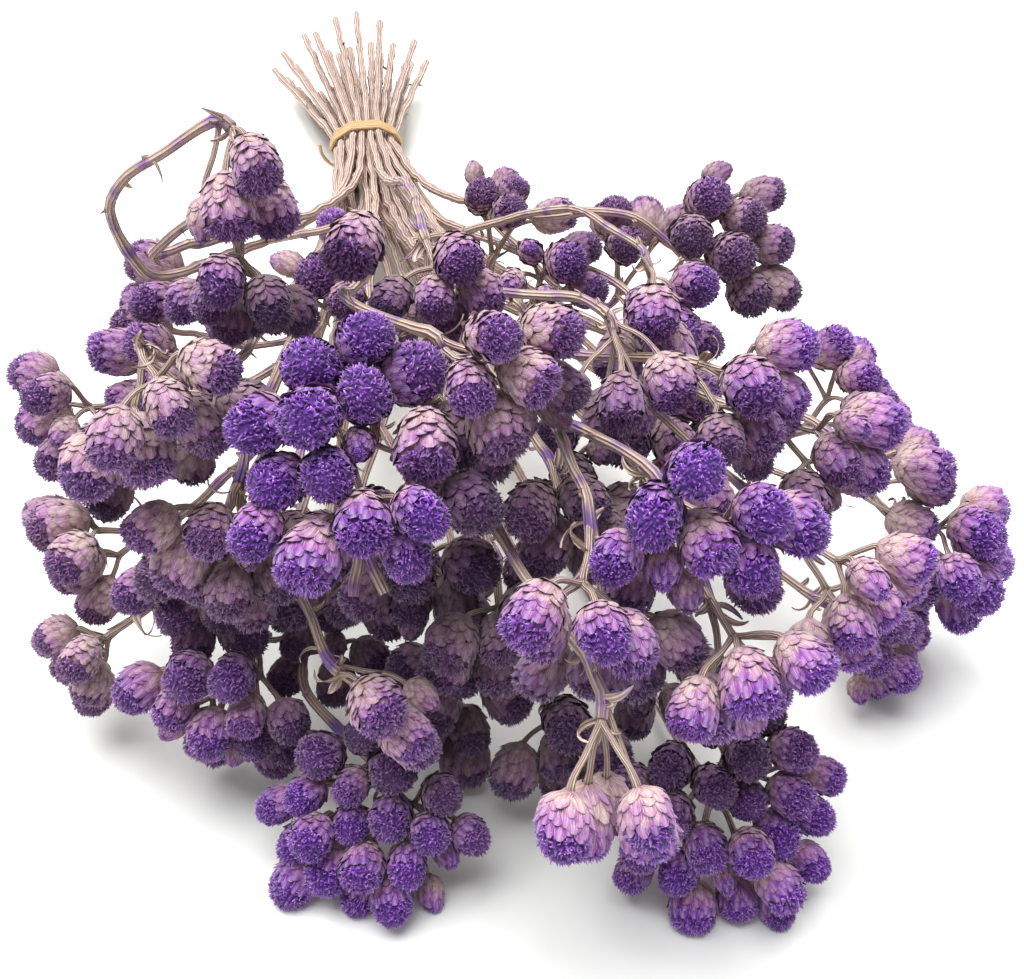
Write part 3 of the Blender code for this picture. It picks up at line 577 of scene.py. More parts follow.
class SprayMesh:
    """The corners, faces, map and finishes of one spray, collected piece by piece."""

    def __init__(self, name=""):
        self.name = name
        self.size = 0
        self.parts = []

    def add(
        self, corners, marks, quads, quad_maps, quad_finishes, triangles, triangle_maps, triangle_finishes
    ):
        self.parts.append((
            corners, marks, quads + self.size, quad_maps, np.broadcast_to(quad_finishes, len(quads)),
            triangles + self.size, triangle_maps, np.broadcast_to(triangle_finishes, len(triangles)),
        ))
        self.size += len(corners)

    def joined(self):
        """Everything so far, in the order that add takes it."""
        return [np.concatenate(column) for column in zip(*self.parts)]

    def make(self, name, finishes):
        corners, marks, quads, quad_maps, quad_finishes, *others = self.joined()
        triangles, triangle_maps, triangle_finishes = others
        corners[:, 2] = np.maximum(corners[:, 2], ABOVE_BOARD)
        corners = (corners - np.array(MIDDLE)) * MM
        mesh = bpy.data.meshes.new(name)
        mesh.vertices.add(len(corners))
        mesh.vertices.foreach_set("co", corners.astype(np.float32).ravel())
        loops = np.concatenate((quads.ravel(), triangles.ravel()))
        mesh.loops.add(len(loops))
        mesh.loops.foreach_set("vertex_index", loops.astype(np.int32))
        kinds = np.concatenate((quad_finishes, triangle_finishes))
        mesh.polygons.add(len(kinds))
        starts = np.concatenate((np.arange(len(quads)) * 4, quads.size + np.arange(len(triangles)) * 3))
        mesh.polygons.foreach_set("loop_start", starts.astype(np.int32))
        for finish in finishes:
            mesh.materials.append(finish)
        mesh.polygons.foreach_set("material_index", kinds.astype(np.int32))
        mesh.polygons.foreach_set("use_smooth", np.ones(len(kinds), bool))
        mesh.update(calc_edges=True)
        maps = np.concatenate((quad_maps.ravel(), triangle_maps.ravel()))
        mesh.uv_layers.new(name="along").data.foreach_set("uv", maps.astype(np.float32))
        for index, mark in enumerate(MARKS):
            values = marks[:, index].astype(np.float32)
            mesh.attributes.new(mark, "FLOAT", "POINT").data.foreach_set("value", values)
        made = bpy.data.objects.new(name, mesh)
        bpy.context.scene.collection.objects.link(made)
        return made


def unit(rows):
    return rows / (np.linalg.norm(rows, axis=-1, keepdims=True) + 1e-12)


def rolled(level, across, angle):
    """Two vectors square to each other, turned in their own plane."""
    return level * cos(angle) + across * sin(angle), across * cos(angle) - level * sin(angle)


def smooth_line(places, leaving, arriving, step):
    """Points about a step apart on a smooth curve through places, and how far along each one is."""
    places = np.array([list(place) for place in places], float)
    knots = np.concatenate(([0.0], np.cumsum(np.linalg.norm(np.diff(places, axis=0), axis=1))))
    ways = np.zeros_like(places)
    ways[1:-1] = (places[2:] - places[:-2]) / (knots[2:] - knots[:-2])[:, None]
    ways[0] = (places[1] - places[0]) / knots[1] if leaving is None else leaving
    ways[-1] = (places[-1] - places[-2]) / (knots[-1] - knots[-2]) if arriving is None else arriving
    along = np.linspace(0.0, knots[-1], max(3, int(knots[-1] / step) + 2))
    span = np.clip(np.searchsorted(knots, along, "right") - 1, 0, len(places) - 2)
    run = knots[span + 1] - knots[span]
    t = ((along - knots[span]) / run)[:, None]
    run = run[:, None]
    line = (
        places[span] * (2 * t**3 - 3 * t**2 + 1)
        + ways[span] * run * (t**3 - 2 * t**2 + t)
        + places[span + 1] * (3 * t**2 - 2 * t**3)
        + ways[span + 1] * run * (t**3 - t**2)
    )
    return line, along


def drift(along, length, dice, parts=3):
    """A smooth chance wave along a stem, from -1 to 1."""
    wave = np.zeros_like(along)
    for part in range(parts):
        wave += np.sin(along * tau / (length * dice.uniform(0.6, 1.7)) + dice.uniform(0.0, tau)) / parts
    return wave


def add_tube(mesh, line, along, radii, dye, tone, dusk, sides, cut=False):
    """A ribbed tube along a line. A cut one starts with a flat end and the pith sunk in it."""
    ways = unit(np.gradient(line, axis=0))
    level = unit(np.cross(ways[0], (0.3, 0.2, 1.0)))
    levels = []
    for way in ways:
        level = unit(level - way * (level @ way))
        levels.append(level)
    levels = np.array(levels)
    across = np.cross(ways, levels)
    turns = tau * np.arange(sides) / sides
    ribs = 1.0 + RIB * np.where(np.arange(sides) % 2, -1.0, 1.0)
    rim = levels[:, None] * np.cos(turns)[None, :, None] + across[:, None] * np.sin(turns)[None, :, None]
    rings = line[:, None] + rim * (radii[:, None] * ribs)[:, :, None]
    if cut:
        inner = line[0] + rim[0] * radii[0] * PITH_SHARE
        rings = np.concatenate(([inner + ways[0] * PITH_DEPTH, inner], rings))
        along = np.concatenate(([0.0, 0.0], along))
        dye = np.concatenate(([0.0, 0.0], dye))
    count = len(rings)
    corners = np.concatenate((rings.reshape(-1, 3), [rings[0].mean(0), rings[-1].mean(0)]))
    marks = marked(corners, np.concatenate((np.repeat(dye, sides), dye[[0, -1]])), tone=tone, dusk=dusk)
    ring = np.arange(count - 1)[:, None] * sides
    side = np.arange(sides)
    after = (side + 1) % sides
    quads = np.stack((ring + side, ring + after, ring + sides + after, ring + sides + side), -1)
    low, high = along[:-1, None], along[1:, None]
    low, high, left, right = np.broadcast_arrays(low, high, side / sides, (side + 1) / sides)
    around = ((left, low), (right, low), (right, high), (left, high))
    maps = np.stack([np.stack(corner, -1) for corner in around], 2).reshape(-1, 4, 2)
    last = (count - 1) * sides
    ends = np.concatenate((
        np.stack((after, side, np.full(sides, count * sides)), -1),
        np.stack((last + side, last + after, np.full(sides, count * sides + 1)), -1),
    ))
    end_maps = np.zeros((len(ends), 3, 2))
    end_maps[:, :, 0] = (ends % sides) / sides
    end_maps[sides:, :, 1] = along[-1]
    mesh.add(corners, marks, quads.reshape(-1, 4), maps, STEM, ends, end_maps, STEM)


def node_places(length, dice):
    places = [dice.uniform(*FIRST_NODE)]
    while places[-1] < length - NODE_FREE_END:
        places.append(places[-1] + dice.uniform(*NODE_SPACING))
    return places[:-1]


def bulge(along, place, length):
    """How near each point along a stem is to a place, from 0 to 1."""
    return np.exp(-(((along - place) / length) ** 2))


def add_stem(mesh, stem, points, radii, is_main, dusk, dice):
    """A stem from its cut end or root to its fork, with its nodes."""
    line, along = smooth_line([points[point] for point in stem.chain], None, None, LINE_STEP)
    length = along[-1]
    fade = np.clip(np.minimum(along, length - along) / WOBBLE_FADE, 0.0, 1.0)[:, None]
    wobble = np.stack([drift(along, WOBBLE_LENGTH, dice) for _ in range(3)], -1)
    line += wobble * WOBBLE * fade
    nodes = np.zeros_like(along)
    for place in node_places(length, dice):
        nodes = np.maximum(nodes, bulge(along, place, NODE_LENGTH))
    fork = bulge(along, length - FORK_SWELLING_BACK, FORK_SWELLING_LENGTH)
    swelling = 1.0 + NODE_SWELLING * nodes + FORK_SWELLING * fork
    swelling += UNEVENNESS * drift(along, UNEVEN_LENGTH, dice)
    size = np.interp(along / length, (0.0, 0.5, 1.0), radii) * SLIMNESS * swelling
    patches = np.clip(0.5 + 0.9 * drift(along, DYE_PATCH_LENGTH, dice), 0.0, 1.0)
    upward = np.clip(along / length if is_main else 0.5 + 0.5 * along / length, 0.0, 1.0)
    dye = (TAIL_DYE + (FORK_DYE - TAIL_DYE) * upward**1.8) * patches
    dye += NODE_DYE * upward * nodes + FORK_PATCH_DYE * fork
    add_tube(mesh, line, along, size, dye, dice.random(), dusk, STEM_SIDES, cut=is_main)


def add_limb_tube(mesh, start, end, leaving, arriving, radii, dye, dusk, dice, cut=False):
    """A branch or a stalk, which leaves its fork a little along the stem and bends to its own way."""
    line, along = smooth_line([start, end], leaving, arriving, STALK_LINE_STEP)
    share = along / along[-1]
    wobble = np.stack([drift(along, STALK_WOBBLE_LENGTH, dice, 2) for _ in range(3)], -1)
    line += wobble * STALK_WOBBLE * np.sin(pi * share)[:, None]
    size = np.interp(share, (0.0, 0.25, 0.8, 1.0), radii)
    dyes = dye * np.clip(0.7 + 0.6 * drift(along, STALK_PATCH_LENGTH, dice), 0.1, 1.0)
    if cut:
        line, size, dyes = line[::-1], size[::-1], dyes[::-1]
    add_tube(mesh, line, along, size, dyes, dice.random(), dusk, STALK_SIDES, cut)


def colour(*srgb):
    """A colour as it is seen, from 0 to 255, for a shader's socket."""
    seen = [part / 255.0 for part in srgb]
    return (*(part / 12.92 if part < 0.04 else ((part + 0.055) / 1.055) ** 2.4 for part in seen), 1.0)


class Finish:
    """A material whose nodes are added one after another."""

    def __init__(self, name, roughness):
        self.material = bpy.data.materials.new(name)
        self.material.use_nodes = True
        self.tree = self.material.node_tree
        self.shader = self.tree.nodes["Principled BSDF"]
        self.shader.inputs["Roughness"].default_value = roughness

    def node(self, kind, **settings):
        made = self.tree.nodes.new(kind)
        for name, value in settings.items():
            setattr(made, name, value)
        return made

    def fill(self, socket, value):
        """A number or a colour is set on the socket, and what another node gives is linked to it."""
        if isinstance(value, (int, float, tuple)):
            socket.default_value = value
        else:
            self.tree.links.new(value, socket)

    def own_map(self):
        return self.node("ShaderNodeUVMap", uv_map="along").outputs["UV"]

    def mark(self, name):
        return self.node("ShaderNodeAttribute", attribute_name=name).outputs["Fac"]

    def math(self, operation, *values, clamp=False):
        made = self.node("ShaderNodeMath", operation=operation, use_clamp=clamp)
        for socket, value in zip(made.inputs, values):
            self.fill(socket, value)
        return made.outputs["Value"]

    def plus(self, value, other, clamp=False):
        return self.math("ADD", value, other, clamp=clamp)

    def times(self, value, gain, clamp=False):
        return self.math("MULTIPLY", value, gain, clamp=clamp)

    def varied(self, value, pattern, reach):
        """A value raised and lowered by a pattern that keeps about a half."""
        return self.plus(value, self.times(self.math("SUBTRACT", pattern, 0.5), reach))

    def past(self, value, start, gain):
        """How far a value is past a start, times a gain."""
        return self.times(self.math("SUBTRACT", value, start, clamp=True), gain)

    def short_of(self, limit, value, gain, clamp=False):
        """How far a value stays short of a limit, times a gain."""
        return self.times(self.math("SUBTRACT", limit, value, clamp=True), gain, clamp=clamp)

    def mix(self, share, first, second):
        made = self.node("ShaderNodeMix", data_type="RGBA")
        for name, value in (("Factor", share), ("A", first), ("B", second)):
            self.fill(made.inputs[name], value)
        return made.outputs["Result"]

    def ramp(self, share, *stops):
        made = self.node("ShaderNodeValToRGB")
        band = made.color_ramp
        while len(band.elements) < len(stops):
            band.elements.new(0.5)
        for element, (place, shade) in zip(band.elements, stops):
            element.position = place
            element.color = shade
        self.fill(made.inputs["Fac"], share)
        return made.outputs["Color"]

    def noise(self, vector, scale, detail):
        made = self.node("ShaderNodeTexNoise")
        for name, value in (("Vector", vector), ("Scale", scale), ("Detail", detail), ("Roughness", 0.6)):
            self.fill(made.inputs[name], value)
        return made.outputs["Fac"]

    def clouds(self, scale, detail):
        """A pattern all through the piece."""
        return self.noise(self.node("ShaderNodeTexCoord").outputs["Object"], scale, detail)

    def grain(self, across, along, detail):
        """A pattern drawn out along the piece."""
        made = self.node("ShaderNodeMapping")
        made.inputs["Scale"].default_value = (across, along, 1.0)
        self.fill(made.inputs["Vector"], self.own_map())
        return self.noise(made.outputs["Vector"], 1.0, detail)

    def bump(self, height, strength, distance):
        made = self.node("ShaderNodeBump")
        for name, value in (("Strength", strength), ("Distance", distance), ("Height", height)):
            self.fill(made.inputs[name], value)
        self.fill(self.shader.inputs["Normal"], made.outputs["Normal"])

    def paint(self, shade):
        self.fill(self.shader.inputs["Base Color"], shade)


# Dried stem: pale straw with a pink cast and fine fibres, painted shade in the grooves between its ribs,
# and streaks of dye.
dried_stem = Finish("dried_stem", 0.72)
streaks = dried_stem.grain(9.0, 0.16, 4.0)
fibres = dried_stem.grain(40.0, 0.5, 2.0)
blotches = dried_stem.clouds(260.0, 3.0)
across_map = dried_stem.node("ShaderNodeSeparateXYZ")
dried_stem.fill(across_map.inputs["Vector"], dried_stem.own_map())
ribs = dried_stem.math("SINE", dried_stem.times(across_map.outputs["X"], RIBS_ROUND * tau))
straw = dried_stem.ramp(
    streaks, (0.28, colour(190, 160, 142)), (0.48, colour(226, 204, 186)), (0.66, colour(246, 232, 218))
)
# Painted shade darkens the grooves between the ribs. The fibres also darken the straw in fine lines.
groove_shade_and_fibres = dried_stem.times(dried_stem.plus(dried_stem.times(ribs, -0.6), fibres, clamp=True), 0.7)
straw = dried_stem.mix(groove_shade_and_fibres, straw, colour(146, 108, 106))
dusky = dried_stem.mix(dried_stem.times(dried_stem.mark("dusk"), 0.3), straw, colour(164, 132, 128))
soaked = dried_stem.varied(dried_stem.varied(dried_stem.mark("dye"), streaks, 2.2), blotches, 1.2)
stained = dried_stem.ramp(
    soaked, (0.42, (0.0, 0.0, 0.0, 1.0)), (0.75, (0.5, 0.5, 0.5, 1.0)), (1.0, (0.92, 0.92, 0.92, 1.0))
)
dye = dried_stem.ramp(blotches, (0.35, colour(92, 62, 170)), (0.65, colour(160, 108, 172)))
dried_stem.paint(dried_stem.mix(stained, dusky, dye))
relief = dried_stem.plus(dried_stem.plus(streaks, dried_stem.times(fibres, 0.5)), dried_stem.times(ribs, 0.6))
dried_stem.bump(relief, 0.9, 0.0004)


# Button heads. Each is a cup of dry, papery, overlapping scales, pinkish cream at the stalk and stained
# violet towards its mouth, filled with a tight dome of tiny frayed florets that took the dye deepest.
# Their kinds are the round full ones, egg-shaped ones, the long bells and closed buds.
HeadKind = namedtuple("HeadKind", "outline rows scale_width dome florets floret_length splay mouth")
HEAD_KINDS = {
    "globe": HeadKind(
        (
            (0.0, 0.09), (0.05, 0.24), (0.13, 0.36), (0.26, 0.43),
            (0.42, 0.46), (0.6, 0.43), (0.78, 0.34), (0.9, 0.2),
        ),
        ((0.01, 0.17, 8), (0.09, 0.19, 11), (0.18, 0.2, 12), (0.28, 0.2, 13), (0.38, 0.2, 14)),
        1.3, (0.55, 0.465, 0.42, 1.75), 400, 0.08, 0.05, 0.38,
    ),
    "egg": HeadKind(
        (
            (0.0, 0.09), (0.05, 0.22), (0.14, 0.33), (0.28, 0.41),
            (0.45, 0.45), (0.62, 0.44), (0.78, 0.36), (0.9, 0.2),
        ),
        (
            (0.0, 0.16, 8), (0.07, 0.18, 10), (0.15, 0.2, 11), (0.24, 0.21, 12),
            (0.34, 0.21, 13), (0.44, 0.2, 13), (0.54, 0.19, 14),
        ),
        1.34, (0.69, 0.43, 0.27, 1.5), 290, 0.085, 0.1, 0.55,
    ),
    "bell": HeadKind(
        (
            (0.0, 0.09), (0.05, 0.2), (0.14, 0.31), (0.3, 0.39),
            (0.5, 0.43), (0.68, 0.45), (0.84, 0.38), (0.9, 0.2),
        ),
        (
            (0.0, 0.17, 8), (0.07, 0.2, 10), (0.16, 0.22, 11), (0.26, 0.23, 11),
            (0.37, 0.23, 12), (0.48, 0.22, 13), (0.6, 0.2, 13),
        ),
        1.32, (0.78, 0.42, 0.18, 1.5), 280, 0.1, 0.3, 0.62,
    ),
    "bud": HeadKind(
        (
            (0.0, 0.09), (0.05, 0.2), (0.15, 0.32), (0.32, 0.4),
            (0.5, 0.41), (0.68, 0.35), (0.84, 0.24), (0.94, 0.12),
        ),
        (
            (0.0, 0.18, 7), (0.09, 0.21, 9), (0.19, 0.23, 10), (0.3, 0.24, 11),
            (0.42, 0.25, 11), (0.55, 0.25, 10), (0.66, 0.22, 8),
        ),
        1.36, (0.84, 0.18, 0.1, 1.3), 90, 0.09, 0.3, 0.7,
    ),
}
HEAD_SHAPES_EACH = 3
CORE_SIDES = 10
CORE_TOP = 0.97
CORE_POINT = 0.02
CORE_SLIMNESS = 0.97

# Scales, as shares of a head's width and length: chance lengths and widths, how far one may be out of
# its place, and how it lifts, curls and folds along its keel.
SCALE_LENGTHS = (0.75, 1.3)
SCALE_WIDTHS = (0.8, 1.1)
SCALE_SHIFT = 0.022
SCALE_SLACK = 0.09
SCALE_LEAN = 0.2
SCALE_LIFT = (0.004, 0.03)
SCALE_CURLS = (-0.004, 0.008, 0.02, 0.05)
SCALE_KEEL = 0.034
FLORET_LENGTHS = (0.6, 1.1)
FLORET_WIDTH = 0.066
FLORET_WIDTHS = (0.7, 1.3)
FLORET_ROOT = 0.93
FLORET_TILT = 0.5


def work_on(thing, chosen):
    """Into edit mode, with the corners that chosen picks selected and nothing else."""
    bpy.ops.object.mode_set(mode="EDIT")
    bpy.ops.mesh.select_mode(type="VERT")
    bpy.ops.mesh.select_all(action="DESELECT")
    bpy.ops.object.mode_set(mode="OBJECT")
    for corner in thing.data.vertices:
        corner.select = bool(chosen(corner.co))
    bpy.ops.object.mode_set(mode="EDIT")


def narrow_row(thing, height, width):
    """The corners of a flat shape at one height are drawn in to a share of its width."""
    work_on(thing, lambda place: abs(place.y - height) < 0.01)
    bpy.ops.transform.resize(value=(width, 1.0, 1.0), center_override=(0.0, height, 0.0))


def pattern_of(thing):
    """The corners and sorted faces of a shape modelled to be copied, which is then cleared away."""
    bpy.ops.object.mode_set(mode="OBJECT")
    corners = np.array([list(corner.co) for corner in thing.data.vertices])
    faces = sorted(tuple(face.vertices) for face in thing.data.polygons)
    bpy.data.objects.remove(thing)
    quads = np.array([face for face in faces if len(face) == 4], int).reshape(-1, 4)
    triangles = np.array([face for face in faces if len(face) == 3], int).reshape(-1, 3)
    return corners, quads, triangles


# One scale, flat: it runs from its root at y = -1 to its tip at y = 1, is narrow at the root and
# rounded at the tip.
bpy.ops.mesh.primitive_grid_add(x_subdivisions=2, y_subdivisions=3, size=2.0)
scale = bpy.context.active_object
for height, width in ((-1.0, 0.62), (-1.0 / 3.0, 1.0), (1.0 / 3.0, 0.86), (1.0, 0.3)):
    narrow_row(scale, height, width)
work_on(scale, lambda place: place.y > 0.2 and place.y < 0.5 and abs(place.x) > 0.1)
bpy.ops.transform.translate(value=(0.0, 0.12, 0.0))
scale_pattern = pattern_of(scale)

# One floret: a thin three-sided tuft that leans over to its point.
bpy.ops.mesh.primitive_cone_add(
    vertices=3, radius1=0.5, depth=1.0, end_fill_type="NOTHING", location=(0.0, 0.0, 0.5)
)
floret = bpy.context.active_object
bpy.ops.object.transform_apply(location=True, rotation=False, scale=False)
work_on(floret, lambda place: place.z > 0.9)
bpy.ops.transform.translate(value=(0.8, 0.3, 0.0))
floret_pattern = pattern_of(floret)


def core_pattern(kind):
    """The solid inside a head, which its scales and florets stand on."""
    height, radius = kind.outline[0]
    bpy.ops.mesh.primitive_circle_add(vertices=CORE_SIDES, radius=radius, fill_type="NOTHING")
    core = bpy.context.active_object
    bpy.ops.object.mode_set(mode="EDIT")
    bpy.ops.mesh.select_all(action="SELECT")
    for next_height, next_radius in kind.outline[1:] + ((CORE_TOP, 0.0),):
        bpy.ops.mesh.extrude_region_move(TRANSFORM_OT_translate={"value": (0.0, 0.0, next_height - height)})
        widening = max(next_radius, CORE_POINT) / radius
        bpy.ops.transform.resize(value=(widening, widening, 1.0))
        height, radius = next_height, max(next_radius, CORE_POINT)
    bpy.ops.mesh.merge(type="CENTER")
    bpy.ops.mesh.select_all(action="SELECT")
    bpy.ops.mesh.normals_make_consistent(inside=False)
    return pattern_of(core)


def put(parts, faces, corners, map_of, finishes, **marks):
    """A copy of a pattern, with its corners in new places. A head's own dye follows its height."""
    quads, triangles = faces
    marks = marked(corners, dye=corners[:, 2], **marks)
    parts.add(corners, marks, quads, map_of[quads], finishes[0], triangles, map_of[triangles], finishes[1])


def add_core(parts, kind):
    middle, _, rise, reach = kind.dome
    corners, *faces = core_pattern(kind)
    corners *= (CORE_SLIMNESS, CORE_SLIMNESS, 1.0)
    map_of = np.stack((np.arctan2(corners[:, 1], corners[:, 0]) / tau, corners[:, 2] * 3.0), -1)
    rim = middle + rise * cos(reach)
    finishes = [np.where(corners[ring][:, :, 2].mean(1) > rim, FLORET, SCALE) for ring in faces]
    # The core has no tip mark, so where it shows between scales and florets it is painted darkest, as painted
    # shade.
    put(parts, faces, corners, map_of, finishes, edge=0.6, tone=0.3)


def add_scales(parts, kind, dice):
    heights, radii = (np.array(column) for column in zip(*kind.outline))
    flat, *faces = scale_pattern
    run = (flat[:, 1] + 1.0) / 2.0
    for height, length, count in kind.rows:
        phase = dice.uniform(0.0, tau)
        half_width = kind.scale_width * pi * np.interp(height + length / 2, heights, radii) / count
        for place in range(count):
            own = length * dice.uniform(*SCALE_LENGTHS)
            z = height + dice.uniform(-SCALE_SHIFT, SCALE_SHIFT) + run * own
            curl = dice.choice(SCALE_CURLS) * np.clip(run - 0.6, 0.0, 1.0) / 0.4
            keel = SCALE_KEEL * (1.0 - np.abs(flat[:, 0])) * np.sin(pi * run * 0.85) ** 0.7
            out = np.interp(z, heights, radii) + SCALE_LIFT[0] + SCALE_LIFT[1] * run + curl + keel
            lean = dice.uniform(-SCALE_LEAN, SCALE_LEAN) * run * length
            wide = half_width * dice.uniform(*SCALE_WIDTHS)
            turn = phase + tau * place / count + dice.uniform(-SCALE_SLACK, SCALE_SLACK)
            turn = turn + (flat[:, 0] * wide + lean) / out
            corners = np.stack((np.cos(turn) * out, np.sin(turn) * out, z), -1)
            map_of = np.stack((flat[:, 0] / 2 + place, run * 2.4), -1)
            marks = {"tip": run, "edge": np.abs(flat[:, 0]), "tone": dice.random()}
            put(parts, faces, corners, map_of, (SCALE, SCALE), **marks)


def add_florets(parts, kind, dice):
    middle, radius, rise, reach = kind.dome
    tuft, *faces = floret_pattern
    for index in range(kind.florets):
        slope = reach * sqrt((index + 0.5) / kind.florets)
        turn = index * GOLDEN_TURN + dice.uniform(-0.2, 0.2)
        out = np.array((cos(turn), sin(turn), 0.0))
        root = out * radius * sin(slope) * FLORET_ROOT
        root = root + np.array((0.0, 0.0, middle + rise * cos(slope) * FLORET_ROOT))
        upright = cos(slope) / rise + kind.splay / radius * 1.2
        way = unit(out * (sin(slope) / radius) + np.array((0.0, 0.0, upright)))
        way = unit(way + np.array([dice.uniform(-FLORET_TILT, FLORET_TILT) for _ in range(3)]))
        side = unit(np.cross(way, (0.31, 0.17, 0.93)))
        side, other = rolled(side, np.cross(way, side), dice.uniform(0.0, tau))
        long = kind.floret_length * dice.uniform(*FLORET_LENGTHS)
        wide = FLORET_WIDTH * dice.uniform(*FLORET_WIDTHS)
        corners = root + side * (tuft[:, :1] * wide) + other * (tuft[:, 1:2] * wide)
        corners = corners + way * (tuft[:, 2:] * long)
        map_of = np.stack((tuft[:, 0] + 0.5, tuft[:, 2]), -1)
        put(parts, faces, corners, map_of, (FLORET, FLORET), tip=tuft[:, 2], tone=dice.random())


def head_shape(kind, dice):
    """One head of a kind, a head width across and a head length high, with marks on its corners."""
    parts = SprayMesh()
    add_core(parts, kind)
    add_scales(parts, kind, dice)
    add_florets(parts, kind, dice)
    return parts.joined()


head_dice = random.Random(5)
head_shapes = {
    name: [head_shape(kind, head_dice) for _ in range(HEAD_SHAPES_EACH)] for name, kind in HEAD_KINDS.items()
}

# How a copied head is made its own: pressed out of round, lumpy and leaning. Its dye starts below its
# mouth and deepens over a run from the least to the most.
HEAD_SQUASH = (0.92, 1.05)
HEAD_LUMPS = (0.05, 0.035)
HEAD_LEAN = 0.06
DYE_STARTS_BELOW = 0.35
DYE_RUN = 0.5
LEAST_DYE = 0.18
DYE_CURVE = 1.3
DYE_SLACK = 0.06
DUSK_SLACK = 0.12


def add_button(mesh, base, axis, size, kind, violet, dusk, dice):
    """A copy of a head on a stalk, turned, leaned and stained by chance."""
    corners, marks, *faces = dice.choice(head_shapes[kind])
    corners = corners.copy()
    marks = marks.copy()
    height = corners[:, 2].copy()
    corners[:, 0] *= dice.uniform(*HEAD_SQUASH)
    turn = np.arctan2(corners[:, 1], corners[:, 0])
    lumps = HEAD_LUMPS[0] * np.sin(2 * turn + dice.uniform(0, tau))
    lumps = lumps + HEAD_LUMPS[1] * np.sin(3 * turn + 4 * height + dice.uniform(0, tau))
    corners[:, :2] *= (1.0 + lumps * np.sin(pi * np.clip(height, 0.0, 1.0)))[:, None]
    lean = (dice.uniform(-HEAD_LEAN, HEAD_LEAN), dice.uniform(-HEAD_LEAN, HEAD_LEAN))
    corners[:, :2] += np.outer(height**2, lean)
    level = unit(np.cross(axis, (0.21, 0.37, 0.9)))
    level, across = rolled(level, np.cross(axis, level), dice.uniform(0.0, tau))
    width, length = HEAD_WIDTH * size, HEAD_LENGTH * size
    placed = base + np.outer(corners[:, 0] * width, level) + np.outer(corners[:, 1] * width, across)
    placed += np.outer(height * length, axis)
    climb = np.clip((height - HEAD_KINDS[kind].mouth + DYE_STARTS_BELOW) / DYE_RUN, 0.0, 1.0)
    marks[:, 0] = violet * (LEAST_DYE + (1.0 - LEAST_DYE) * climb**DYE_CURVE)
    marks[:, 0] += dice.uniform(-DYE_SLACK, DYE_SLACK)
    # The dusk mark holds the spray's duskiness plus painted shade for heads deep in the bunch.
    marks[:, 4] = np.clip(dusk + dice.uniform(-DUSK_SLACK, DUSK_SLACK), 0.0, 1.0)
    mesh.add(placed, marks, *faces)


# Papery scales: thin and dry, with fine veins and pale fibres along them, darker at their edges, cream at
# the stalk and violet towards the mouth. Painted shade darkens each scale at its root, under the scale
# below, and a painted highlight lightens its keel towards the tip. Dusky heads are dull, and heads deep in
# the bunch are painted dull and dark as painted shade.
# Past this dusk mark, a head is painted dark as painted shade.
PAINTED_SHADE_FROM = 0.74

papery = Finish("papery_scales", 0.62)
veins = papery.grain(15.0, 0.5, 3.0)
clouds = papery.clouds(420.0, 3.0)
dye = papery.varied(papery.varied(papery.mark("dye"), clouds, 0.9), papery.mark("tone"), 0.22)
dye = papery.plus(dye, papery.times(papery.mark("tip"), 0.12))
body = papery.ramp(
    dye,
    (0.08, colour(228, 204, 194)), (0.36, colour(208, 158, 184)),
    (0.62, colour(174, 94, 182)), (0.95, colour(116, 44, 168)),
)
edges = papery.times(papery.math("POWER", papery.mark("edge"), 3.0), 0.6)
tips = papery.times(papery.math("POWER", papery.mark("tip"), 9.0), 0.6)
# Painted shade: each scale is darker at its root, where the scale below overlaps it.
root_shade = papery.short_of(0.45, papery.mark("tip"), 1.3)
veins_edges_and_root_shade = papery.math("MAXIMUM", papery.math("MAXIMUM", edges, tips), root_shade)
veins_edges_and_root_shade = papery.plus(veins_edges_and_root_shade, papery.past(veins, 0.42, 2.6), clamp=True)
veined_and_root_shaded = papery.mix(veins_edges_and_root_shade, body, papery.ramp(dye, (0.1, colour(150, 104, 104)), (0.5, colour(98, 54, 120))))
dull = papery.mix(0.55, veined_and_root_shaded, colour(124, 92, 112))
dulled_body = papery.mix(papery.times(papery.mark("dusk"), 0.8), veined_and_root_shaded, dull)
# Painted highlight: the keel of each scale is lightened towards its tip. The pale fibres are the scales' own
# colour.
ridge_highlight = papery.times(papery.short_of(0.45, papery.mark("edge"), 0.9), papery.mark("tip"))
fibres = papery.short_of(0.47, veins, 4.5, clamp=True)
pale = papery.math("MAXIMUM", ridge_highlight, papery.times(fibres, 0.75))
dulled_body = papery.mix(pale, dulled_body, colour(232, 214, 226))
# Painted shade: the heads deepest in the bunch are darkened towards a dark mauve.
painted_shade = papery.past(papery.mark("dusk"), PAINTED_SHADE_FROM, 2.0)
papery.paint(papery.mix(painted_shade, dulled_body, colour(70, 48, 68)))
papery.bump(papery.plus(papery.times(veins, -1.6), clouds), 0.7, 0.0003)
papery.shader.inputs["Sheen Weight"].default_value = 0.15
papery.shader.inputs["Specular IOR Level"].default_value = 0.25

# Florets: deep violet, painted darkest at their roots as painted shade between them and palest at their
# frayed tips as a painted highlight. Dusky ones are mauve, and heads deep in the bunch are painted mauve and
# dark as painted shade.
fluffy = Finish("violet_florets", 0.8)
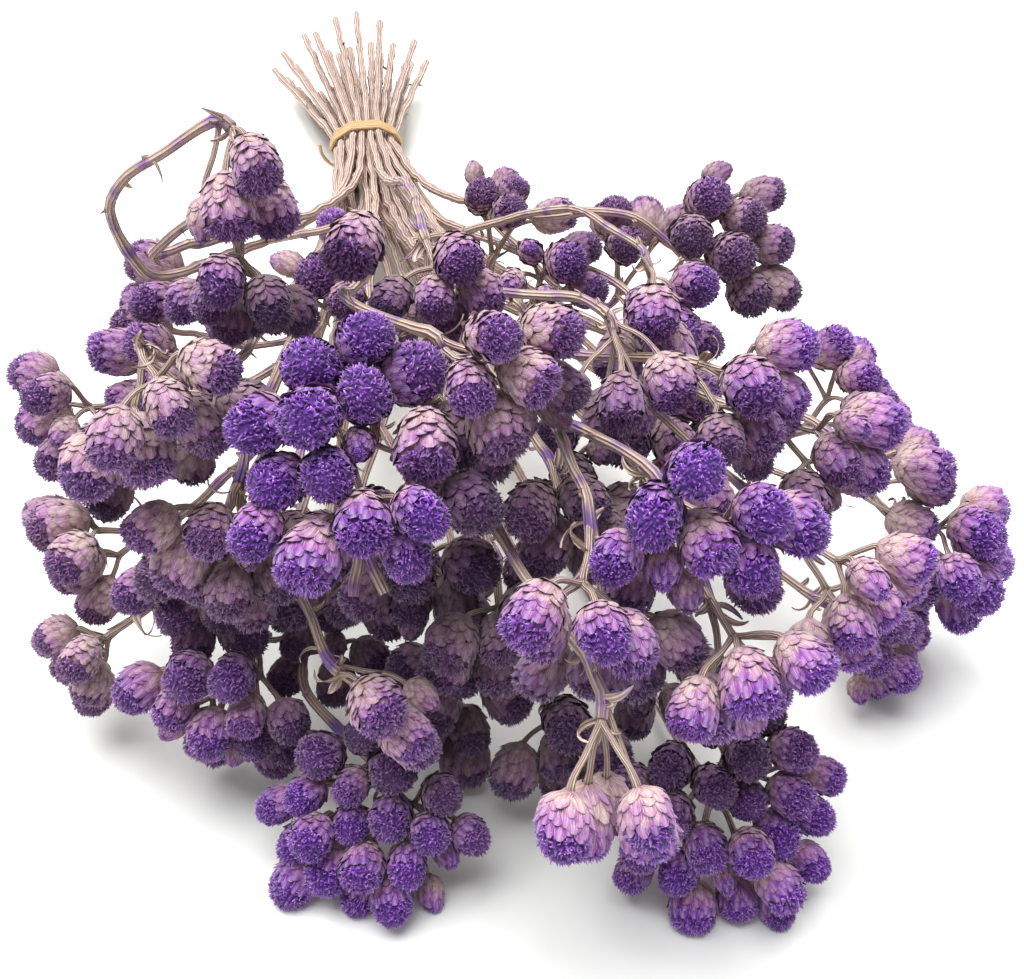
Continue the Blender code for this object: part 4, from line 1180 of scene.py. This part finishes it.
# Painted shade and highlight: florets darken towards their roots and lighten towards their tips.
depth = fluffy.varied(fluffy.mark("tip"), fluffy.mark("tone"), 0.5)
depth = fluffy.varied(depth, fluffy.clouds(500.0, 2.0), 0.8)
violet = fluffy.ramp(
    depth,
    (0.0, colour(66, 20, 114)), (0.38, colour(114, 44, 168)),
    (0.72, colour(158, 86, 204)), (1.0, colour(212, 170, 238)),
)
mauve = fluffy.ramp(
    depth, (0.0, colour(74, 40, 92)), (0.5, colour(120, 70, 128)), (1.0, colour(180, 138, 182))
)
undyed = fluffy.short_of(0.7, fluffy.mark("dye"), 0.8)
fade_and_shade = fluffy.plus(fluffy.times(fluffy.mark("dusk"), 0.95), undyed, clamp=True)
fluff = fluffy.mix(fade_and_shade, violet, mauve)
# Painted shade: the heads deepest in the bunch are darkened towards a dark violet.
painted_shade = fluffy.past(fluffy.mark("dusk"), PAINTED_SHADE_FROM, 2.0)
fluffy.paint(fluffy.mix(painted_shade, fluff, colour(56, 32, 70)))
fluffy.shader.inputs["Sheen Weight"].default_value = 0.3


# Scraps of leaf. Small, narrow leaves stood at the forks and nodes. They dried to curled, twisted
# shreds of the stems' own straw colour, stained violet at their tips.
SCRAP_LENGTH = (2.6, 8.5)
SCRAP_WIDTH = (0.45, 0.95)
SCRAP_CURL = (0.8, 2.6)
SCRAP_TWIST = 1.6
SCRAP_OUTLINE = (0.45, 0.8, 1.0, 0.95, 0.8, 0.6, 0.4, 0.12)
SCRAP_ROWS = len(SCRAP_OUTLINE) - 1
SCRAP_FOLD = 0.35
SCRAP_DYES = (0.1, 0.75)

bpy.ops.mesh.primitive_grid_add(x_subdivisions=2, y_subdivisions=SCRAP_ROWS, size=2.0)
scrap = bpy.context.active_object
for step, width in enumerate(SCRAP_OUTLINE):
    narrow_row(scrap, -1.0 + 2.0 * step / SCRAP_ROWS, width)
work_on(scrap, lambda place: abs(place.x) < 0.01)
bpy.ops.transform.translate(value=(0.0, 0.0, -SCRAP_FOLD))
scrap_pattern = pattern_of(scrap)


def add_scrap(mesh, root, way, size, dye, dusk, dice):
    """A shred of leaf that stands away from a stem and curls over."""
    flat, quads, triangles = scrap_pattern
    run = (flat[:, 1] + 1.0) / 2.0
    length = dice.uniform(*SCRAP_LENGTH) * size
    width = dice.uniform(*SCRAP_WIDTH) * size
    side = unit(np.cross(way, [dice.uniform(-1, 1) for _ in range(3)]))
    curl = dice.uniform(*SCRAP_CURL) * dice.choice((-1.0, 1.0))
    turn = dice.uniform(-SCRAP_TWIST, SCRAP_TWIST) * run
    over = np.cross(side, way)
    angle = curl * run**1.4
    step = length / SCRAP_ROWS
    bends = curl * np.linspace(0, 1, SCRAP_ROWS + 1) ** 1.4
    forward = np.cumsum(np.cos(bends)) * step - step
    upward = np.cumsum(np.sin(bends)) * step
    row = np.rint(run * SCRAP_ROWS).astype(int)
    lift = over[None, :] * np.cos(angle)[:, None] - way[None, :] * np.sin(angle)[:, None]
    across = side[None, :] * np.cos(turn)[:, None] + lift * np.sin(turn)[:, None]
    lift = lift * np.cos(turn)[:, None] - side[None, :] * np.sin(turn)[:, None]
    corners = root + np.outer(forward[row], way) + np.outer(upward[row], over)
    corners = corners + across * (flat[:, :1] * width) + lift * (flat[:, 2:] * width)
    marks = marked(corners, dye * (0.5 + 0.8 * run), tone=dice.random(), dusk=dusk)
    map_of = np.stack((flat[:, 0] * 0.15 + 0.5, run * length), -1)
    mesh.add(corners, marks, quads, map_of[quads], STEM, triangles, map_of[triangles], STEM)


def add_scraps(mesh, root, stem_way, number, size, violet, dusk, dice):
    for _ in range(number):
        way = unit(stem_way * dice.uniform(0.1, 0.9) + unit(np.array([dice.gauss(0, 1) for _ in range(3)])))
        add_scrap(mesh, root + way * 0.2, way, size, violet * dice.uniform(*SCRAP_DYES), dusk, dice)


# The sprays. Each is one cut main stem with its side stems, branches, stalks, heads and scraps of leaf.
# It grew as one, so it is one piece, and only the tie holds it in the bunch. Its looks are the kind of
# most of its heads, how violet they are, and how dusky.
SPRAY_LOOKS = {
    "spray_crown": ("globe", 1.0, 0.05), "spray_floor_left": ("globe", 0.95, 0.1),
    "spray_floor_right": ("egg", 1.0, 0.05), "spray_right_low": ("egg", 0.95, 0.1),
    "spray_right_edge": ("globe", 1.0, 0.05), "spray_centre_right": ("globe", 0.95, 0.0),
    "spray_front_right_hanging": ("bell", 0.85, 0.0), "spray_centre": ("egg", 0.9, 0.1),
    "spray_front_hanging": ("bell", 0.68, 0.0), "spray_right_inner": ("egg", 0.85, 0.1),
    "spray_right_middle": ("egg", 0.8, 0.1), "spray_middle_front": ("egg", 0.55, 0.3),
    "spray_middle_top": ("egg", 0.7, 0.45), "spray_right_arch": ("egg", 0.9, 0.15),
    "spray_right_upper": ("globe", 0.75, 0.3), "spray_right_shoulder": ("egg", 0.75, 0.35),
    "spray_right_top": ("egg", 0.5, 0.75), "spray_back_top": ("egg", 0.4, 0.85),
    "spray_top_left_loop": ("bell", 0.5, 0.6), "spray_upper_left": ("globe", 0.75, 0.6),
    "spray_left_edge": ("globe", 0.5, 0.65), "spray_left_shoulder": ("egg", 0.62, 0.55),
    "spray_left_front": ("egg", 0.42, 0.55), "spray_left_below": ("egg", 0.4, 0.6),
    "spray_left_low": ("globe", 0.8, 0.4), "spray_left_edge_low": ("egg", 0.35, 0.7),
    "spray_left_edge_middle": ("egg", 0.4, 0.7),
}
OTHER_LOOKS = ("egg", 0.5, 0.45)

# The looks on the side stems, where they differ.
SIDE_LOOKS = {
    "spray_top_left_loop": ("bell", 0.42, 0.1), "spray_floor_left": ("egg", 0.55, 0.45),
    "spray_front_hanging": ("egg", 0.5, 0.5), "spray_centre": ("egg", 0.6, 0.4),
    "spray_right_inner": ("bell", 0.72, 0.05), "spray_front_inner": ("egg", 0.6, 0.25),
    "spray_left_below": ("globe", 0.6, 0.5),
}

# Branches, the broken stub and stalks: radii along each, how much dye it took, and how far it follows
# the stem before it turns its own way. A stalk widens into its head and reaches a little into it.
BRANCH_RADII = (0.72, 0.6, 0.56, 0.66)
BRANCH_DYE = 0.55
BRANCH_FOLLOWS = 0.5
STUB_RADII = (0.8, 0.92, 0.9, 0.84)
STUB_DYE = 0.8
STUB_FOLLOWS = 0.3
STALK_RADII = (0.56, 0.44, 0.46)
STALK_DYE = 0.5
STALK_FOLLOWS = 0.35
STALK_BEND = 8.0
STALK_ARRIVAL = 0.9
STALK_FLARE = 0.72
STALK_DEPTH = 0.06

# Heads below this size are buds, and some of the others are of another kind than their spray's.
BUD_LIMIT = 0.76
OTHER_KIND_CHANCE = 0.3
OTHER_KINDS = ("egg", "bell", "globe")
VIOLET_SLACK = (0.8, 1.1)

# A head that lies deep in the bunch, behind many others, gets painted shade: the share of its view
# outward that the other heads take is added to its dusk mark, which paints it duller and darker.
BUNCH_HEART = np.array((0.0, -75.0, 30.0))
COVER_REACH = 32.0
COVER_RISE = 6.0
COVERED_BY = 11.0
head_places = np.array([list(skeleton.points[tip]) for _, tip, _ in skeleton.heads])


def covered(place):
    """How much of a head's view outward the other heads take, from 0 to 1."""
    away = head_places - place
    outside = (np.linalg.norm(away, axis=1) < COVER_REACH) & (away @ unit(place - BUNCH_HEART) > COVER_RISE)
    return min(1.0, outside.sum() / COVERED_BY)


def add_head_and_stalk(mesh, head, start, end, stem_way, looks, dice):
    kind, violet, dusk = looks
    axis = unit(np.array(head.axis) + unit(end - start))
    base = end - axis * HEAD_LENGTH * head.size / 2
    top = base + axis * STALK_DEPTH * HEAD_LENGTH * head.size
    bend = min(1.0, STALK_BEND / np.linalg.norm(base - start))
    leaving = unit(unit(base - start) + stem_way * STALK_FOLLOWS) * bend
    radii = (*STALK_RADII, STALK_FLARE * head.size)
    add_limb_tube(mesh, start, top, leaving, axis * STALK_ARRIVAL, radii, STALK_DYE * violet, dusk, dice)
    if head.size < BUD_LIMIT * HEAD_SCALES.get(mesh.name, 1.0):
        kind = "bud"
    elif dice.random() < OTHER_KIND_CHANCE:
        kind = dice.choice(OTHER_KINDS)
    # Painted shade: a head covered by other heads gets a higher dusk mark.
    deep = dusk + (1.0 - dusk) * covered(end)
    add_button(mesh, base, axis, head.size, kind, violet * dice.uniform(*VIOLET_SLACK), deep, dice)


def add_spray_limbs(mesh, limbs, stem_way, looks, dice):
    """The branches and stalks on a fork, and the heads on them."""
    _, violet, dusk = looks
    for limb in limbs:
        last = limb.joint if isinstance(limb, Branch) else limb.tip
        start, end = (np.array(skeleton.points[point]) for point in (limb_start[last], last))
        way = unit(end - start)
        if isinstance(limb, Branch):
            leaving = unit(way + stem_way * BRANCH_FOLLOWS)
            add_limb_tube(mesh, start, end, leaving, way, BRANCH_RADII, BRANCH_DYE * violet, dusk, dice)
            add_spray_limbs(mesh, limb.limbs, way, looks, dice)
        elif isinstance(limb, Stub):
            leaving = unit(way + stem_way * STUB_FOLLOWS)
            add_limb_tube(mesh, start, end, leaving, way, STUB_RADII, STUB_DYE, 0.0, dice, cut=True)
        else:
            add_head_and_stalk(mesh, limb, start, end, stem_way, looks, dice)


# Scraps at each point of a stem from its fork back, by number and size, and on the tail of a main stem.
STEM_SCRAPS = ((3, 1.0), (3, 0.9), (1, 0.7), (2, 0.55), (1, 0.5), (1, 0.5))
TAIL_SCRAP_SHARES = (0.3, 0.6)
TAIL_SCRAP_SIZE = 0.6
TAIL_SCRAP_DYE = 0.05
TAIL_SCRAP_DUSK = 0.2

MAIN_RADII = (STEM_RADIUS, STEM_RADIUS, SIDE_STEM_RADIUS)
SIDE_RADII = (SIDE_STEM_RADIUS, SIDE_STEM_RADIUS, BRANCH_RADIUS)
FIRST_DRAW = 100
FIRST_SCRAP_DRAW = 700

finishes = (dried_stem.material, papery.material, fluffy.material)
for index, (name, stems) in enumerate(skeleton.sprays.items()):
    dice = random.Random(FIRST_DRAW + index)
    looks = SPRAY_LOOKS.get(name, OTHER_LOOKS)
    mesh = SprayMesh(name)
    for stem in stems:
        is_main = stem is stems[0]
        add_stem(mesh, stem, skeleton.points, MAIN_RADII if is_main else SIDE_RADII, is_main, looks[2], dice)
        stem_way = unit(np.array(skeleton.points[stem.chain[-1]] - skeleton.points[stem.chain[-2]]))
        own_looks = looks if is_main else SIDE_LOOKS.get(name, looks)
        add_spray_limbs(mesh, stem.limbs, stem_way, own_looks, dice)
        scrap_dice = random.Random(FIRST_SCRAP_DRAW + index)
        for point, (number, size) in zip(reversed(stem.chain), STEM_SCRAPS):
            root = np.array(skeleton.points[point])
            add_scraps(mesh, root, stem_way, number, size, looks[1], looks[2], scrap_dice)
    cut_end, next_ring = (np.array(skeleton.points[point]) for point in stems[0].chain[:2])
    tail = next_ring - cut_end
    for share in TAIL_SCRAP_SHARES:
        root = cut_end + tail * share
        add_scraps(mesh, root, unit(tail), 1, TAIL_SCRAP_SIZE, TAIL_SCRAP_DYE, TAIL_SCRAP_DUSK, scrap_dice)
    spray = mesh.make(name.replace("spray", "dressed"), finishes)
    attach(spray, "root")
    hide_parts(name)


# The tie. One strand of raffia, a straw-coloured strip of palm leaf twisted to a cord, is wound tight
# round the waist five times, crossed over its own turns and knotted, and its two ends are cut short.
TIE_TURNS = 5
TIE_RADIUS = 0.52
TIE_PITCH = 1.14
TIE_REACH = 1.62
TIE_CORNERS = 26
TIE_SIDES = 8
TIE_LINE_STEP = 0.55
TIE_UNEVENNESS = 0.16
TIE_UNEVEN_LENGTH = 7.0

# The turns sway along the waist and lift off it a little: by how much, and how often.
TIE_SWAY = (0.16, 9.0)
TIE_LIFT = (0.12, 13.0)

# The knot: its place round the waist, and how far it stands out. The strand crosses the turns there.
# Its loop and ends go through places beside it: round the waist, along it and out from it.
KNOT_TURN = -1.2
KNOT_REACH = 1.3
CROSSING_HALF = 3.4
CROSSING_PRESS = 0.2
CROSSING = ((0, -1.6, 0.2), (0, 1.4, 0.4))
KNOT_LOOP = ((-1.5, -0.4, 0), (0, -0.8, 1.1), (1.5, 0.3, 0), (0, 1.3, 0.5), (-1.2, 0.9, 0.9))
LEFT_END = ((0, 0, 0), (-4.0, 0, 1.6), (-8.5, -2.0, 0.6), (-12.0, -4.5, -2.0))
RIGHT_END = ((0, 0, 0), (3.5, 0, 2.2), (7.0, -3.0, 3.0), (9.5, -7.0, 1.6))


def round_waist(angle, along, reach):
    """A place on the outline of the stems at the waist, this far along it and out from the outer stems."""
    level, down = cross_frame(-TAIL)
    out = level * cos(angle) - down * sin(angle)
    furthest = max(waist_slots(), key=lambda slot: slot.dot(out))
    return WAIST + furthest + out * reach + TAIL * along


knot = round_waist(KNOT_TURN, 0.0, TIE_REACH + KNOT_REACH)
knot_out, knot_side = (knot - WAIST).normalized(), (knot - WAIST).cross(TAIL).normalized()


def beside_knot(places):
    return [knot + knot_side * side + TAIL * along + knot_out * out for side, along, out in places]


winding = []
for corner in range(TIE_TURNS * TIE_CORNERS + 1):
    turned = corner / TIE_CORNERS
    along = (turned - TIE_TURNS / 2) * TIE_PITCH + TIE_SWAY[0] * sin(turned * TIE_SWAY[1])
    reach = TIE_REACH + TIE_LIFT[0] * sin(turned * TIE_LIFT[1])
    winding.append(round_waist(tau * turned + KNOT_TURN, along, reach))
crossing = [
    round_waist(KNOT_TURN, -CROSSING_HALF, TIE_REACH - CROSSING_PRESS),
    *beside_knot(CROSSING),
    round_waist(KNOT_TURN, CROSSING_HALF, TIE_REACH - CROSSING_PRESS),
]
tie = SprayMesh("tie")
tie_dice = random.Random(3)
for places in (winding, crossing, beside_knot(KNOT_LOOP), beside_knot(LEFT_END), beside_knot(RIGHT_END)):
    line, along = smooth_line(places, None, None, TIE_LINE_STEP)
    thick = TIE_RADIUS * (1.0 + TIE_UNEVENNESS * drift(along, TIE_UNEVEN_LENGTH, tie_dice))
    add_tube(tie, line, along, thick, np.zeros(len(along)), tie_dice.random(), 0.0, TIE_SIDES)

raffia = Finish("raffia", 0.7)
fibres = raffia.grain(14.0, 0.35, 3.0)
raffia.paint(raffia.ramp(fibres, (0.3, colour(158, 122, 80)), (0.7, colour(222, 192, 146))))
raffia.bump(fibres, 0.6, 0.0003)
cord = tie.make("dressed_tie", (raffia.material,))
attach(cord, "root")
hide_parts("tie_band")


# The surface that the bunch lies on: a plain, matt, pale board, with faint clouds in its paint. It is
# laid under the lowest heads and cut ends.
BOARD_SIZE = 8.0

bpy.ops.object.select_all(action="DESELECT")
bpy.ops.mesh.primitive_plane_add(size=BOARD_SIZE, location=(0.0, 0.0, 0.0))
floor = bpy.context.active_object
floor.name = "floor"
board = Finish("pale_board", 0.6)
faint = board.clouds(9.0, 3.0)
board.paint(board.ramp(faint, (0.3, (0.83, 0.85, 0.82, 1.0)), (0.7, (0.87, 0.88, 0.86, 1.0))))
floor.data.materials.append(board.material)


# Plain soft light: some comes from all round, and the rest from one wide window overhead, a little to
# the left and behind.
ROOM_SHADE = (1.0, 1.0, 0.99, 1.0)
ROOM_STRENGTH = 0.5
WINDOW_AT = (-0.15, 0.08, 1.0)
WINDOW_WIDTH = radians(55.0)
WINDOW_STRENGTH = 5.4

world = bpy.data.worlds.new("soft_room")
bpy.context.scene.world = world
world.use_nodes = True
world.node_tree.nodes["Background"].inputs["Color"].default_value = ROOM_SHADE
world.node_tree.nodes["Background"].inputs["Strength"].default_value = ROOM_STRENGTH
bpy.ops.object.light_add(type="SUN", location=WINDOW_AT)
window = bpy.context.active_object
window.rotation_euler = Vector(WINDOW_AT).to_track_quat("Z", "Y").to_euler()
window.data.angle = WINDOW_WIDTH
window.data.energy = WINDOW_STRENGTH


# The camera stands in front of the heads and looks down at them at an angle, as it did for the photo.
# Its focal length is in pixels of a picture 1024 wide. It stands so near that the back looks small.
CAMERA_AT = (-0.0026, -0.2989, 0.185)
CAMERA_TILT = radians(52.0)
FOCAL_LENGTH = 1300.0
PICTURE_WIDTH = 1024.0
SENSOR_WIDTH = 36.0
NEAREST_SEEN = 0.01

bpy.ops.object.camera_add(location=CAMERA_AT, rotation=(CAMERA_TILT, 0.0, 0.0))
camera = bpy.context.active_object
camera.data.sensor_width = SENSOR_WIDTH
camera.data.lens = FOCAL_LENGTH / PICTURE_WIDTH * SENSOR_WIDTH
camera.data.clip_start = NEAREST_SEEN
bpy.context.scene.camera = camera
bpy.context.scene.view_settings.view_transform = "Standard"
